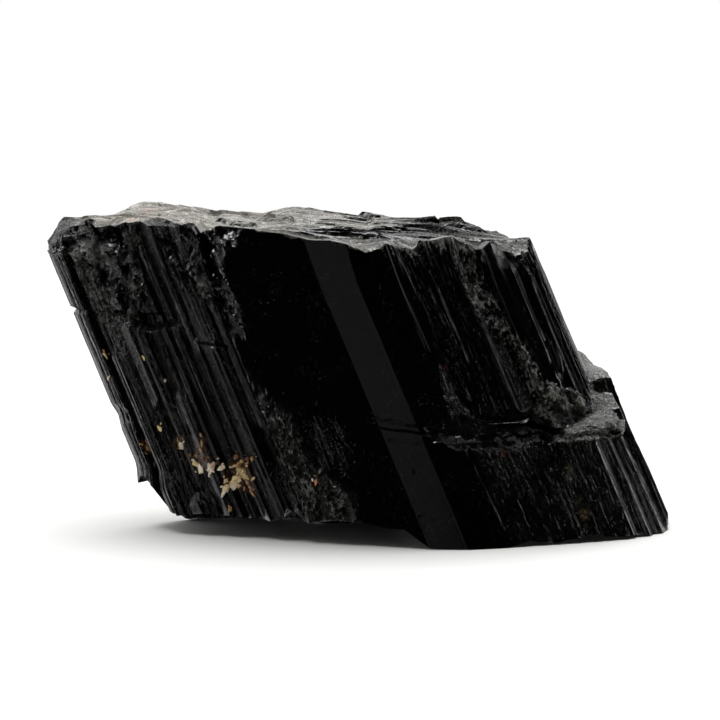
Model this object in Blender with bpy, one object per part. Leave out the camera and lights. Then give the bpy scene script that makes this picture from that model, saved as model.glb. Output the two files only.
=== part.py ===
"""A hand-sized black tourmaline (schorl) crystal, lying on its broken base.

The crystal is a bundle of parallel ribs that leans to one side. Its sides are the flat,
ribbed prism faces, and its top and base are breaks across its axis. Metres, +Z up, with
the origin under the middle of the stone, on the surface that it rests on.
"""

import math

import bmesh
import bpy
from mathutils import Matrix, Vector, geometry, noise

MM = 0.001

# --- the crystal's own frame -----------------------------------------------------------
# U runs across the crystal, V from its front face to its back, C up along its axis.
AXIS_TILT = math.radians(22.7)  # the axis leans to -X
AXIS_LEAN = math.radians(8.0)  # and back to +Y
TURNED = Matrix.Rotation(-AXIS_LEAN, 3, "X") @ Matrix.Rotation(-AXIS_TILT, 3, "Y")
U, V, C = (TURNED @ Vector(axis) for axis in ((1, 0, 0), (0, 1, 0), (0, 0, 1)))

# --- driving dimensions, in millimetres ------------------------------------------------
# The outline across the axis, as (across, depth) corners, from the left ribs along the
# front to the right ribs, and round the back. Below the waist crack the right part stands
# further out: that shoulder is a second bundle of ribs, grown onto the first.
LEFT_RIBS = [
    (-36.9, 19.4), (-36.5, 16.6), (-35.0, 14.2), (-34.2, 15.0), (-33.4, 12.8), (-31.4, 11.9),
    (-30.7, 12.6), (-30.0, 10.9), (-28.1, 10.2), (-27.5, 10.9), (-26.9, 9.4), (-25.3, 8.9),
    (-24.7, 9.8), (-24.0, 9.0), (-22.4, 8.6), (-21.8, 7.3), (-19.5, 6.4), (-18.8, 7.0),
    (-17.1, 5.8), (-16.5, 6.3), (-14.6, 4.6),
]
BLACK_FACE = [(-13.2, 3.8), (-2.6, 0.35)]
GREY_FACE = [(2.6, 0.0)]
RIGHT_RIBS = [
    (7.4, 1.5), (7.8, 2.0), (10.0, 2.6), (10.4, 3.1), (12.4, 3.6), (12.8, 4.1), (14.6, 4.5),
    (15.0, 5.0), (16.8, 5.4), (17.4, 6.4), (20.0, 7.2), (20.4, 6.8), (23.6, 8.6), (24.2, 9.8),
    (25.4, 10.2), (25.9, 11.6), (27.0, 12.2), (27.7, 14.6), (28.3, 19.0), (27.6, 22.6),
]
SHOULDER_RIBS = [
    (7.4, 1.4), (7.9, 1.9), (10.2, 2.4), (10.6, 2.9), (12.8, 3.4), (13.3, 3.9), (15.4, 4.3),
    (15.9, 4.8), (18.0, 5.3), (18.6, 6.0), (21.4, 6.8), (22.0, 7.4), (25.0, 8.5), (25.6, 9.7),
    (27.2, 10.5), (27.8, 11.9), (29.2, 12.8), (30.2, 15.8), (30.9, 19.6), (31.1, 23.4),
]
BACK_CORNER = [(24.6, 26.2), (23.4, 26.3), (20.8, 29.6)]
SHOULDER_BACK_CORNER = [(30.0, 27.2), (28.2, 29.4), (23.2, 32.0)]
BACK_RIBS = [
    (17.2, 31.6), (16.5, 32.6), (9.6, 34.8), (8.9, 35.8), (1.2, 37.4), (0.5, 36.8),
    (-7.8, 37.6), (-8.8, 38.2), (-15.5, 35.6), (-16.2, 34.4), (-21.6, 31.6), (-22.6, 31.6),
    (-28.0, 27.6), (-28.6, 26.4), (-33.2, 23.4), (-34.0, 23.2),
]
BACK_FROM = 24.0  # ribs that lie deeper than this are on the back
MOST_EDGE = 2.6  # a longer side of the outline gets points between its corners
FACING_REACH = 7  # points to each side that a point's outward direction is averaged over

TOP_HEIGHT = 41.5  # of the top break, over the foot of the axis
TOP_FALL = 0.060  # the top falls towards +X
TOP_RISE = 0.030  # and rises towards the back
SLAB_THICKNESS = 0.55  # of the thin slabs that the top broke into
LUMP_HEIGHT = 0.5
LEFT_WEAR_FROM, LEFT_WEAR = -32.5, 0.8  # left of there the top is worn down this steeply
# Scoops in the top break's front edge: across, depth, half length, half width, height.
TOP_SCOOPS = (
    (5.0, 1.0, 4.2, 4.5, 1.0),
    (19.6, 6.5, 2.2, 3.0, 2.0),
    (-16.6, 5.5, 3.2, 3.6, 1.8),
    (-28.5, 10.5, 4.5, 3.4, 1.0),
    (26.5, 12.0, 2.4, 4.0, 1.0),
)
CAP_SPACING = 2.0  # between the points inside both breaks
CAP_MARGIN = 0.9  # and between them and the rim

# Heights along the axis are shares of the way from the base to the top. The stations crowd
# where the two cracks are, and the waist crack's stations shift with its height.
WAIST_CRACK = 0.385
LEFT_CRACK = 0.672
BELOW_WAIST = (0.0, 0.03, 0.08, 0.14, 0.20, 0.26, 0.31, 0.345)
ABOVE_WAIST = (
    0.425, 0.47, 0.52, 0.57, 0.62, LEFT_CRACK - 0.015, LEFT_CRACK, LEFT_CRACK + 0.015, 0.72,
    0.76, 0.80, 0.84, 0.88, 0.92, 0.96, 1.0,
)
# The waist crack along the front: across, height, half opening and depth.
WAIST_ALONG_FRONT = (
    (-3.0, 0.395, 0.004, 0.0),
    (3.0, 0.390, 0.006, 0.3),
    (8.0, 0.380, 0.030, 1.6),
    (17.0, 0.378, 0.030, 2.4),
    (22.0, 0.366, 0.022, 2.4),
    (26.0, 0.362, 0.018, 1.8),
)
# Round the right side it rises in three steps, as (depth, height), and closes.
WAIST_ALONG_SIDE = (
    (12.0, 0.365), (15.6, 0.405), (16.4, 0.452), (20.0, 0.480), (21.0, 0.530), (26.0, 0.58),
    (33.0, 0.44),
)
SIDE_FROM = 12.0
SIDE_OPENING = 0.012
SIDE_CRACK_DEPTH = 0.6
# The crack across the left ribs, as (across, depth).
LEFT_CRACK_DEPTHS = ((-37.0, 0.7), (-34.2, 0.4), (-31.0, 0.8), (-20.0, 0.0))

# Slivers that have split off the ribs: from, to across, lowest and highest share, depth.
LOST_SLIVERS = (
    (-37.3, -34.9, 0.20, 0.30, 0.4),
    (-33.5, -31.2, 0.56, 0.80, 0.6),
    (-30.1, -28.0, 0.05, 0.36, 0.7),
    (-27.0, -25.2, 0.42, 0.68, 0.6),
    (-21.9, -19.4, 0.60, 0.86, 0.7),
    (-18.9, -17.0, 0.13, 0.30, 0.7),
    (-16.6, -14.3, 0.68, 1.00, 0.9),
    (12.7, 14.7, 0.60, 0.86, 0.4),
    (17.3, 20.1, 0.44, 0.72, 0.5),
    (17.3, 20.1, 0.87, 1.00, 0.9),
)
# Battered corners: middle and half width across, share where they start, depth at the top.
BATTERED = (
    (-29.5, 6.0, 0.76, 3.2),
    (-17.0, 4.2, 0.80, 2.4),
    (-35.5, 3.0, 0.88, 1.8),
    (25.0, 3.0, 0.90, 1.2),
)
# The ribs right of the waist taper towards the crack that undercuts them.
TAPER_FROM, TAPER_TO, TAPER_DEPTH, TAPER_TOP = 20.0, 26.5, 1.2, 0.54

# Hollows in the base: x, y (from the foot of the axis), half length, half width, height.
BASE_HOLLOWS = (
    (-12.5, 4.0, 10.0, 17.0, 3.1),
    (-31.0, 12.0, 13.0, 12.0, 3.0),
    (-45.0, 20.0, 7.5, 16.0, 5.0),
    (13.0, 1.0, 5.0, 5.0, 0.9),
    (24.0, 6.0, 9.0, 5.0, 0.7),
    (-36.0, 36.0, 12.0, 8.0, 5.0),
    (18.0, 36.0, 14.0, 7.0, 4.0),
)
BASE_ROUGHNESS = 0.9

# A crust of feldspar crumbs fills the ribs near the lower left.
CRUST_ACROSS = (-28.2, -22.6)
CRUST_SHARES = (0.080, 0.098, 0.116, 0.134, 0.152, 0.170)
CRUST_GAP = 0.35
CRUST_THICKNESS = 1.0  # in its middle


def smooth_step(low, high, value):
    share = min(max((value - low) / (high - low), 0.0), 1.0)
    return share * share * (3 - 2 * share)


def read(table, value, column=1):
    """A column of a table of rows, read at a value of the rows' first column."""
    for low, high in zip(table, table[1:]):
        if value <= high[0]:
            share = min(max((value - low[0]) / (high[0] - low[0]), 0.0), 1.0)
            return low[column] + (high[column] - low[column]) * share
    return table[-1][column]


def subdivided(upper, lower):
    """Pairs of points on both outlines, with more between corners that are far apart."""
    pairs = []
    corners = [(Vector(a), Vector(b)) for a, b in zip(upper, lower)]
    for (a, b), (next_a, next_b) in zip(corners, corners[1:] + corners[:1]):
        longest = max((next_a - a).length, (next_b - b).length)
        pieces = max(1, math.ceil(longest / MOST_EDGE))
        for k in range(pieces):
            pairs.append((a.lerp(next_a, k / pieces), b.lerp(next_b, k / pieces)))
    return pairs


def facings(points):
    """The outward direction at each point of an outline that runs counter-clockwise."""
    count = len(points)
    directions = []
    for k in range(count):
        along = points[(k + FACING_REACH) % count] - points[k - FACING_REACH]
        directions.append(Vector((along.y, -along.x)).normalized())
    return directions


def place(across, depth, along):
    """A point of the crystal's frame, in millimetres from the foot of its axis."""
    return U * across + V * depth + C * along


def top_at(across, depth):
    """How far up the axis the top break is."""
    normal = Vector((TOP_FALL, -TOP_RISE, 1.0))
    level = (TOP_HEIGHT - across * normal.dot(U) - depth * normal.dot(V)) / normal.dot(C)
    spot = place(across, depth, level)
    slab = math.floor(6.0 * noise.noise(Vector((spot.x * 0.045, spot.y * 0.2, 3.0))))
    lump = noise.noise(Vector((spot.x * 0.16, spot.y * 0.33, 8.0)))
    worn = LEFT_WEAR * max(0.0, LEFT_WEAR_FROM - across)
    for middle, deep, half_length, half_width, height in TOP_SCOOPS:
        away = math.hypot((across - middle) / half_length, (depth - deep) / half_width)
        worn += height * (1.0 - smooth_step(0.2, 1.0, away))
    return level + SLAB_THICKNESS * 0.5 * slab + LUMP_HEIGHT * lump - worn


def base_at(across, depth):
    """How far up the axis the base is. None of it reaches below the resting surface."""
    level = (-across * U.z - depth * V.z) / C.z
    spot = place(across, depth, level)
    lift = BASE_ROUGHNESS * (noise.noise(Vector((spot.x * 0.17, spot.y * 0.17, 1.0))) - 0.25)
    for x, y, half_length, half_width, height in BASE_HOLLOWS:
        away = ((spot.x - x) / half_length) ** 4 + ((spot.y - y) / half_width) ** 4
        lift += height * (1.0 - smooth_step(0.25, 1.0, away))
    return level + max(lift, 0.0) / C.z


def waist_at(point):
    """The waist crack at a point of the outline: its height, half opening and depth."""
    if point.y > SIDE_FROM and point.x > 0.0:
        fade = 1.0 - smooth_step(26.0, 32.0, point.y)
        height = read(WAIST_ALONG_SIDE, point.y)
        return height, 0.004 + SIDE_OPENING * fade, SIDE_CRACK_DEPTH * fade
    if point.y > SIDE_FROM:
        return WAIST_CRACK, 0.004, 0.0
    return tuple(read(WAIST_ALONG_FRONT, point.x, column) for column in (1, 2, 3))


def shares_at(point):
    """The shares of the height where this point of the outline has its stations."""
    height, opening, _ = waist_at(point)
    below = [share * (height - opening) / WAIST_CRACK for share in BELOW_WAIST]
    rims = [height - opening, height - 0.6 * opening, height + 0.6 * opening, height + opening]
    top = height + opening
    above = [1.0 - (1.0 - share) * (1.0 - top) / (1.0 - WAIST_CRACK) for share in ABOVE_WAIST]
    return below, rims, above


def lost_at(point, share):
    """How much of the crystal's side has broken away, in millimetres."""
    if point.y > BACK_FROM:
        flake = math.floor(5.0 * noise.noise(Vector((point.x * 0.12, share * 2.6, 12.0))))
        return max(0.0, 0.32 * flake)
    lost = 0.0
    if abs(share - LEFT_CRACK) < 0.01:
        lost += read(LEFT_CRACK_DEPTHS, point.x)
    for low, high, lowest, highest, depth in LOST_SLIVERS:
        if low <= point.x <= high and lowest <= share <= highest:
            lost += depth
    for middle, half_width, start, depth in BATTERED:
        near = 1.0 - smooth_step(0.3, 1.0, abs(point.x - middle) / half_width)
        lumps = 1.0 + 0.8 * noise.noise(Vector((point.x * 0.6, share * 18.0, 4.0)))
        lost += depth * near * smooth_step(start, 1.02, share) * lumps
    waist = waist_at(point)[0]
    if share > waist:
        taper = smooth_step(TAPER_FROM, TAPER_TO, point.x)
        lost += TAPER_DEPTH * taper * (1.0 - smooth_step(waist, TAPER_TOP, share))
    return lost


def side_column(upper, lower, facing):
    """One point of the outline, followed up the crystal's side from base to top."""
    below, rims, above = shares_at(upper)
    crack_depth = waist_at(upper)[2]
    column = [(lower, share, lost_at(upper, share)) for share in below + rims[:1]]
    column.append((lower, rims[1], crack_depth))
    column.append((upper, rims[2], crack_depth))
    column += [(upper, share, lost_at(upper, share)) for share in rims[3:] + above]
    base, top = base_at(*lower), top_at(*upper)
    return [(point - facing * lost, base + (top - base) * share)
            for point, share, lost in column]


def drawn_out(bm, lid, ring):
    """The lid moved on to a new ring of places, with sides behind it."""
    made = bmesh.ops.extrude_face_region(bm, geom=[lid])["geom"]
    new_lid = next(item for item in made if isinstance(item, bmesh.types.BMFace))
    for vert, spot in zip(new_lid.verts, ring):
        vert.co = spot
    bm.faces.remove(lid)
    return new_lid


def distance_to_side(spot, start, end):
    """How far a spot is from one side of an outline."""
    along = geometry.intersect_point_line(spot, start, end)[1]
    return (spot - start.lerp(end, min(max(along, 0.0), 1.0))).length


def points_within(rim):
    """A triangular grid of points, clear of the rim of a break."""
    sides = list(zip(rim, rim[1:] + rim[:1]))
    low = Vector((min(point.x for point in rim), min(point.y for point in rim)))
    high = Vector((max(point.x for point in rim), max(point.y for point in rim)))
    row_step = CAP_SPACING * math.sqrt(0.75)
    found = []
    for row in range(int((high.y - low.y) / row_step) + 1):
        for column in range(int((high.x - low.x) / CAP_SPACING) + 1):
            shift = Vector((column + 0.5 * (row % 2), row * math.sqrt(0.75))) * CAP_SPACING
            spot = low + shift
            if min(distance_to_side(spot, *side) for side in sides) > CAP_MARGIN:
                found.append(spot)
    return found


def cover(bm, rim_verts, rim, height_at):
    """Closes a rim with a rough break."""
    outline = list(range(len(rim)))
    found = geometry.delaunay_2d_cdt(rim + points_within(rim), [], [outline], 1, 0.001)
    spots, faces = found[0], found[2]
    verts = dict(enumerate(rim_verts))
    for index in {index for face in faces for index in face} - set(verts):
        spot = spots[index]
        verts[index] = bm.verts.new(place(*spot, height_at(*spot)) * MM)
    for face in faces:
        bm.faces.new([verts[index] for index in face])


def new_object(name, bm, material):
    bmesh.ops.triangulate(bm, faces=bm.faces[:])
    bmesh.ops.recalc_face_normals(bm, faces=bm.faces[:])
    mesh = bpy.data.meshes.new(name)
    bm.to_mesh(mesh)
    bm.free()
    mesh.materials.append(material)
    made = bpy.data.objects.new(name, mesh)
    bpy.context.scene.collection.objects.link(made)
    return made


OUTLINE = subdivided(
    LEFT_RIBS + BLACK_FACE + GREY_FACE + RIGHT_RIBS + BACK_CORNER + BACK_RIBS,
    LEFT_RIBS + BLACK_FACE + GREY_FACE + SHOULDER_RIBS + SHOULDER_BACK_CORNER + BACK_RIBS,
)


def crystal(material):
    directions = facings([pair[0] for pair in OUTLINE])
    columns = [side_column(*pair, facing) for pair, facing in zip(OUTLINE, directions)]
    levels = list(zip(*columns))
    rings = [[place(*point, along) * MM for point, along in level] for level in levels]
    bm = bmesh.new()
    base_rim = [bm.verts.new(spot) for spot in rings[0]]
    lid = bm.faces.new(base_rim)
    for ring in rings[1:]:
        lid = drawn_out(bm, lid, ring)
    top_rim = list(lid.verts)
    bm.faces.remove(lid)
    cover(bm, base_rim, [point for point, _ in levels[0]], base_at)
    cover(bm, top_rim, [point for point, _ in levels[-1]], top_at)
    return new_object("tourmaline_crystal", bm, material)


def crust(material):
    """A thin lens that follows the ribs and closes along its rim."""
    points = [pair[0] for pair in OUTLINE]
    ribs = [(point, facing) for point, facing in zip(points, facings(points))
            if CRUST_ACROSS[0] <= point.x <= CRUST_ACROSS[1] and point.y < SIDE_FROM]
    last_row, last_rib = len(CRUST_SHARES) - 1, len(ribs) - 1
    bm = bmesh.new()
    under, over = {}, {}
    for row, share in enumerate(CRUST_SHARES):
        for k, (point, facing) in enumerate(ribs):
            base, top = base_at(*point), top_at(*point)
            spot = place(*(point + facing * CRUST_GAP), base + (top - base) * share)
            under[row, k] = over[row, k] = bm.verts.new(spot * MM)
            if 0 < row < last_row and 0 < k < last_rib:
                dome = math.sin(math.pi * row / last_row) * math.sin(math.pi * k / last_rib)
                lift = (U * facing.x + V * facing.y) * CRUST_THICKNESS * dome
                over[row, k] = bm.verts.new((spot + lift) * MM)
    for row in range(last_row):
        for k in range(last_rib):
            corners = [(row, k), (row, k + 1), (row + 1, k + 1), (row + 1, k)]
            bm.faces.new([over[corner] for corner in corners])
            bm.faces.new([under[corner] for corner in reversed(corners)])
    bmesh.ops.poke(bm, faces=bm.faces[:])
    return new_object("feldspar_crust", bm, material)


def place_origin(made):
    """Moves the meshes so that the origin is under the middle of the crystal's box."""
    spots = [vert.co for vert in made[0].data.vertices]
    low = Vector([min(spot[axis] for spot in spots) for axis in range(3)])
    high = Vector([max(spot[axis] for spot in spots) for axis in range(3)])
    middle = (low + high) / 2
    for piece in made:
        piece.data.transform(Matrix.Translation((-middle.x, -middle.y, -low.z)))


def mineral(name, colour, roughness):
    material = bpy.data.materials.new(name)
    material.use_nodes = True
    shader = material.node_tree.nodes["Principled BSDF"]
    shader.inputs["Base Color"].default_value = (*colour, 1.0)
    shader.inputs["Roughness"].default_value = roughness
    shader.inputs["Metallic"].default_value = 0.0
    return material


def main():
    for old in list(bpy.data.objects):
        bpy.data.objects.remove(old)
    schorl = mineral("schorl", (0.008, 0.008, 0.009), 0.25)
    feldspar = mineral("feldspar", (0.62, 0.50, 0.34), 0.7)
    place_origin([crystal(schorl), crust(feldspar)])


main()
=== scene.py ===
"""The finished look of a black tourmaline (schorl) crystal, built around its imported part.

Run as a script, it cuts the crystal fine enough to carry its ribs, chips and cracks, beds
feldspar crumbs in them, and sets a plain studio round it. Lengths are in millimetres unless
a name says metres. "Across" and "depth" are the crystal's own directions, square to its axis.
"""

import math
from bisect import bisect_right

import bmesh
import bpy
import numpy as np
from bpy.props import FloatProperty, FloatVectorProperty, IntProperty, PointerProperty
from mathutils import Matrix, Vector, noise
from mathutils.bvhtree import BVHTree
from mathutils.kdtree import KDTree


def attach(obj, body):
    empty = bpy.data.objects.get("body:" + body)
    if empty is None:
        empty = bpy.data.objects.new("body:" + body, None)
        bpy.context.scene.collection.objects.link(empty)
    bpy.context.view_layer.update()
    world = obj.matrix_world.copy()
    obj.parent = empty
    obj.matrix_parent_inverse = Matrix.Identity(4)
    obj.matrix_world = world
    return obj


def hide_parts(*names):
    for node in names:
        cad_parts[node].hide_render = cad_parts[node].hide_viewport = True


bl_info = {
    "name": "Schorl crystal finish",
    "version": (1, 0, 0),
    "blender": (4, 5, 0),
    "location": "3D View > Sidebar > Crystal",
    "description": "Carves, dusts and lights a black tourmaline crystal",
    "category": "Object",
}

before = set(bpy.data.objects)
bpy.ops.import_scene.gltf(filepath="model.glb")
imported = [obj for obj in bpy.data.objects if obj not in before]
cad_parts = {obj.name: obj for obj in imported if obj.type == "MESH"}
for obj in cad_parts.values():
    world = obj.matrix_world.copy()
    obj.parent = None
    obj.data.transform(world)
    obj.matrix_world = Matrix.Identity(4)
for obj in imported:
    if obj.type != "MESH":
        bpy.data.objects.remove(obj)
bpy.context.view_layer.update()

MM = 0.001
CRYSTAL_NODE = "tourmaline_crystal"
CRUST_NODE = "feldspar_crust"

# The crystal's own directions: its axis leans to -X and back, and its foot is near the front.
AXIS_TILT = math.radians(22.7)
AXIS_LEAN = math.radians(8.0)
TURNED = Matrix.Rotation(-AXIS_LEAN, 3, "X") @ Matrix.Rotation(-AXIS_TILT, 3, "Y")
ACROSS, DEPTH = (np.array(TURNED @ Vector(axis)) for axis in ((1, 0, 0), (0, 1, 0)))
FOOT = np.array((12.85, -22.42, 0.0))
MIDDLE_ACROSS, MIDDLE_DEPTH = -3.0, 19.0  # of the crystal's outline
HALF_ACROSS, HALF_DEPTH = 34.0, 19.0

FACING_DEPTH = 13.0  # the faces turned to the front lie nearer than this
FRONT_DEPTH = 24.0  # and the crystal's back farther than this
ENDS_DEPTH = 12.0  # the ends' ribs are counted from here
BACK_ROUND = 150.0  # keeps the back's ribs apart from the front's
UPRIGHT = (0.0, 0.0, 1.0)

SIDE, TOP, BASE = 0, 1, 2
TOUCH = 0.02  # a cut that passes a vertex this close goes through it
FARTHEST = 1e9  # more than any distance here
RIB_REACH = 90.0  # ribs are laid this far to both sides
GROOVE = 0.5  # deepest groove beside a rib, as a share of the rib's width
GROOVE_PLACE, GROOVE_SPREAD = 0.06, 0.08  # and where it lies, as shares of the width too
SLIVERS = 64  # along a rib, before they repeat
STANDING = 0.55  # share of the slivers that haven't dropped
CHIP_CELLS = 64  # each way, before the chips repeat
SLIVER_SHIFT = 90.0  # most that a rib's slivers are shifted along it
CRACK_WAVER = 0.12  # how far a crack strays from its line
SEED_STEP = 17.3  # how far apart in the noise two seeds lie


def linear(hex_colour):
    """An sRGB hex colour as linear red, green and blue."""
    values = [int(hex_colour[k:k + 2], 16) / 255 for k in (1, 3, 5)]
    return tuple(v / 12.92 if v <= 0.04045 else ((v + 0.055) / 1.055) ** 2.4 for v in values)


def smooth_step(low, high, value):
    """0 at low and 1 at high, with a smooth rise between them."""
    share = np.clip((value - low) / (high - low), 0.0, 1.0)
    return share * share * (3 - 2 * share)


def crystal_places(points):
    """Across and depth, in the crystal's directions, of points in millimetres."""
    from_foot = points - FOOT
    return from_foot @ ACROSS, from_foot @ DEPTH


def away_from(x, y, line):
    """Distance of each place from a line of points."""
    near = np.full(len(x), FARTHEST)
    for (ax, ay), (bx, by) in zip(line, line[1:]):
        dx, dy = bx - ax, by - ay
        share = np.clip(((x - ax) * dx + (y - ay) * dy) / (dx * dx + dy * dy), 0.0, 1.0)
        near = np.minimum(near, np.hypot(x - ax - share * dx, y - ay - share * dy))
    return near


def within(x, y, corners, soft):
    """1 inside a polygon and 0 outside it, over a soft edge of that width."""
    closed = corners + corners[:1]
    inside = np.zeros(len(x), bool)
    for (ax, ay), (bx, by) in zip(closed, closed[1:]):
        crosses = (ay > y) != (by > y)
        slope = (bx - ax) / (by - ay) if by != ay else 0.0
        inside ^= crosses & (x < ax + (y - ay) * slope)
    near = away_from(x, y, closed)
    return smooth_step(-soft / 2, soft / 2, np.where(inside, near, -near))


def crest(x, y, line, half_width):
    """1 on a line of points, falling straight to 0 half a width away."""
    return np.clip(1 - away_from(x, y, line) / half_width, 0.0, 1.0)


def field(x, y, z, seed):
    """Smooth noise, from about -1 to 1, at each place."""
    return np.array([noise.noise(Vector((a, b, c + SEED_STEP * seed))) for a, b, c in zip(x, y, z)])


def rib_relief(across, up, seed, widths, lean, crown, drop, lengths):
    """Parallel ribs of uneven width, each leaning or rounded its own way, with a groove beside
    it, and split into slivers of which some have dropped out. Also how far they dropped."""
    rng = np.random.default_rng(seed)
    # Twice the number that would reach both ways at their mean width.
    edges = -RIB_REACH + np.cumsum(rng.uniform(*widths, int(8 * RIB_REACH / sum(widths))))
    count = len(edges)
    index = np.clip(np.searchsorted(edges, across) - 1, 0, count - 2)
    width = edges[index + 1] - edges[index]
    part = (across - edges[index]) / width
    leans = rng.uniform(-lean, lean, count)[index]
    crowns = rng.uniform(0.0, crown, count)[index]
    grooves = rng.uniform(0.0, GROOVE, count)[index]
    length = rng.uniform(*lengths, count)[index]
    phase = rng.uniform(0.0, SLIVER_SHIFT, count)[index]
    slant = rng.uniform(-2.0, 2.0, count)[index]
    sliver = np.floor((up + phase + slant * part) / length).astype(int) % SLIVERS
    fallen = rng.random((count, SLIVERS))[index, sliver]
    dropped = drop * np.clip((fallen - STANDING) / (1 - STANDING), 0.0, 1.0)
    relief = width * (leans * (part - 0.5) + crowns * 4 * part * (1 - part))
    relief -= width * grooves * np.exp(-((part - GROOVE_PLACE) / GROOVE_SPREAD) ** 2)
    return relief - dropped, dropped


def chip_relief(x, y, seed, size, slope, bowl):
    """Chips of about one size, each with its own tilt and height, or hollowed as a bowl."""
    table = np.random.default_rng(seed).random((CHIP_CELLS, CHIP_CELLS, 5))
    gx, gy = x / size, y / size
    cell_x, cell_y = np.floor(gx).astype(int), np.floor(gy).astype(int)
    best, relief = np.full(len(x), FARTHEST), np.zeros(len(x))
    for step_x in (-1, 0, 1):
        for step_y in (-1, 0, 1):
            spot = table[(cell_x + step_x) % CHIP_CELLS, (cell_y + step_y) % CHIP_CELLS]
            dx = gx - cell_x - step_x - spot[:, 0]
            dy = gy - cell_y - step_y - spot[:, 1]
            away = dx * dx + dy * dy
            value = (spot[:, 2] - 0.5) * 2 * slope * dx + (spot[:, 3] - 0.5) * 2 * slope * dy
            value += spot[:, 4] - 0.5 + bowl * away
            relief = np.where(away < best, value, relief)
            best = np.minimum(best, away)
    return relief


# --- settings ---------------------------------------------------------------------------


class CrystalSettings(bpy.types.PropertyGroup):
    """Sizes and colours of the crystal."""

    column: FloatProperty(name="Column width", description="Cut width across the front, in mm",
                          default=0.2, min=0.15, max=2.0)
    row: FloatProperty(name="Row height", description="Cut height up the sides, in mm",
                       default=0.8, min=0.2, max=4.0)
    top_cell: FloatProperty(name="Top cell", description="Cut width on the top break, in mm",
                            default=0.42, min=0.2, max=4.0)
    rib_depth: FloatProperty(name="Rib depth", description="Scale of the ribs' relief",
                             default=1.0, min=0.0, max=3.0, subtype="FACTOR")
    seed: IntProperty(name="Seed", description="Start of the random ribs and chips", default=7)
    black: FloatVectorProperty(name="Black", description="Body colour of a clean face",
                               subtype="COLOR", size=3, min=0, max=1, default=linear("#030304"))
    grey: FloatVectorProperty(name="Bruised grey", description="Colour of a fresh break",
                              subtype="COLOR", size=3, min=0, max=1, default=linear("#1D1E1D"))
    olive: FloatVectorProperty(name="Olive", description="Tint of the weathered breaks",
                               subtype="COLOR", size=3, min=0, max=1, default=linear("#1C231A"))
    dust: FloatVectorProperty(name="Dust", description="Rock dust in the hollows",
                              subtype="COLOR", size=3, min=0, max=1, default=linear("#77766E"))
    pale: FloatVectorProperty(name="Pale dust", description="Dust on the top break, and specks",
                              subtype="COLOR", size=3, min=0, max=1, default=linear("#A6A298"))
    rust: FloatVectorProperty(name="Rust", description="Iron stain between the ribs",
                              subtype="COLOR", size=3, min=0, max=1, default=linear("#3A2A1E"))


class CrumbSettings(bpy.types.PropertyGroup):
    """Sizes and colours of the feldspar crumbs."""

    scale: FloatProperty(name="Crumb size", description="Scale of every crumb",
                         default=1.0, min=0.2, max=3.0, subtype="FACTOR")
    rust: FloatVectorProperty(name="Rust", description="Iron stain on the feldspar",
                              subtype="COLOR", size=3, min=0, max=1, default=linear("#8A5A34"))


class StudioSettings(bpy.types.PropertyGroup):
    """The paper, the camera and the lights."""

    paper: FloatVectorProperty(name="Paper", description="Colour of the paper sheet",
                               subtype="COLOR", size=3, min=0, max=1, default=linear("#E0E0DE"))
    lens: FloatProperty(name="Lens", description="Focal length, in mm", default=174.8, min=10)
    sky: FloatProperty(name="Backdrop", description="Brightness behind the crystal",
                       default=1.0, min=0.0, max=10.0)


# --- the crystal's mesh -----------------------------------------------------------------


def split(face, values, offset, cuts, points):
    """The parts of a convex face below and above a plane. An edge that both its faces share
    is cut once."""
    below, above = [], []
    for start, end in zip(face, face[1:] + face[:1]):
        side = values[start] - offset
        if side < TOUCH:
            below.append(start)
        if side > -TOUCH:
            above.append(start)
        beyond = values[end] - offset
        if abs(side) >= TOUCH and abs(beyond) >= TOUCH and (side > 0) != (beyond > 0):
            key = (start, end) if start < end else (end, start)
            if key not in cuts:
                first, last = key
                share = (offset - values[first]) / (values[last] - values[first])
                cuts[key] = len(points)
                points.append(points[first] + (points[last] - points[first]) * share)
                values.append(offset)
            below.append(cuts[key])
            above.append(cuts[key])
    return below, above


def with_cuts(start, end, cuts):
    """The vertices that cuts have put between two vertices, in order."""
    middle = cuts.get((start, end) if start < end else (end, start))
    if middle is None:
        return []
    return with_cuts(start, middle, cuts) + [middle] + with_cuts(middle, end, cuts)


def cut_by_planes(points, faces, chosen, normal, offsets):
    """Cuts the chosen faces by parallel planes at rising offsets along the normal, and gives
    their neighbours the new vertices. A face is a list of vertices and its zone."""
    values = (np.array(points) @ np.array(normal)).tolist()
    cuts, made = {}, []
    for (face, zone), wanted in zip(faces, chosen):
        if wanted:
            reach = [values[vert] for vert in face]
            highest = max(reach) - TOUCH
            plane = bisect_right(offsets, min(reach) + TOUCH)
            while plane < len(offsets) and offsets[plane] < highest:
                below, face = split(face, values, offsets[plane], cuts, points)
                made.append((below, zone))
                plane += 1
        made.append((face, zone))
    whole = []
    for face, zone in made:
        closed = []
        for start, end in zip(face, face[1:] + face[:1]):
            closed += [start] + with_cuts(start, end, cuts)
        whole.append((closed, zone))
    return whole


TOP_LEVEL, TOP_SLOPE = 40.0, 0.08  # the top break lies above this, and rises to the left
BASE_LEVEL = 9.0  # and the base below this
LEVEL_ENOUGH = 0.5  # their unit normals reach at least this far up or down


def zone_of(face):
    """Whether a face is on the crystal's side, its top break or its base."""
    middle, normal = face.calc_center_median() / MM, face.normal
    if normal.z > LEVEL_ENOUGH and middle.z > TOP_LEVEL - TOP_SLOPE * middle.x:
        return TOP
    if normal.z < -LEVEL_ENOUGH and middle.z < BASE_LEVEL:
        return BASE
    return SIDE


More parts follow.
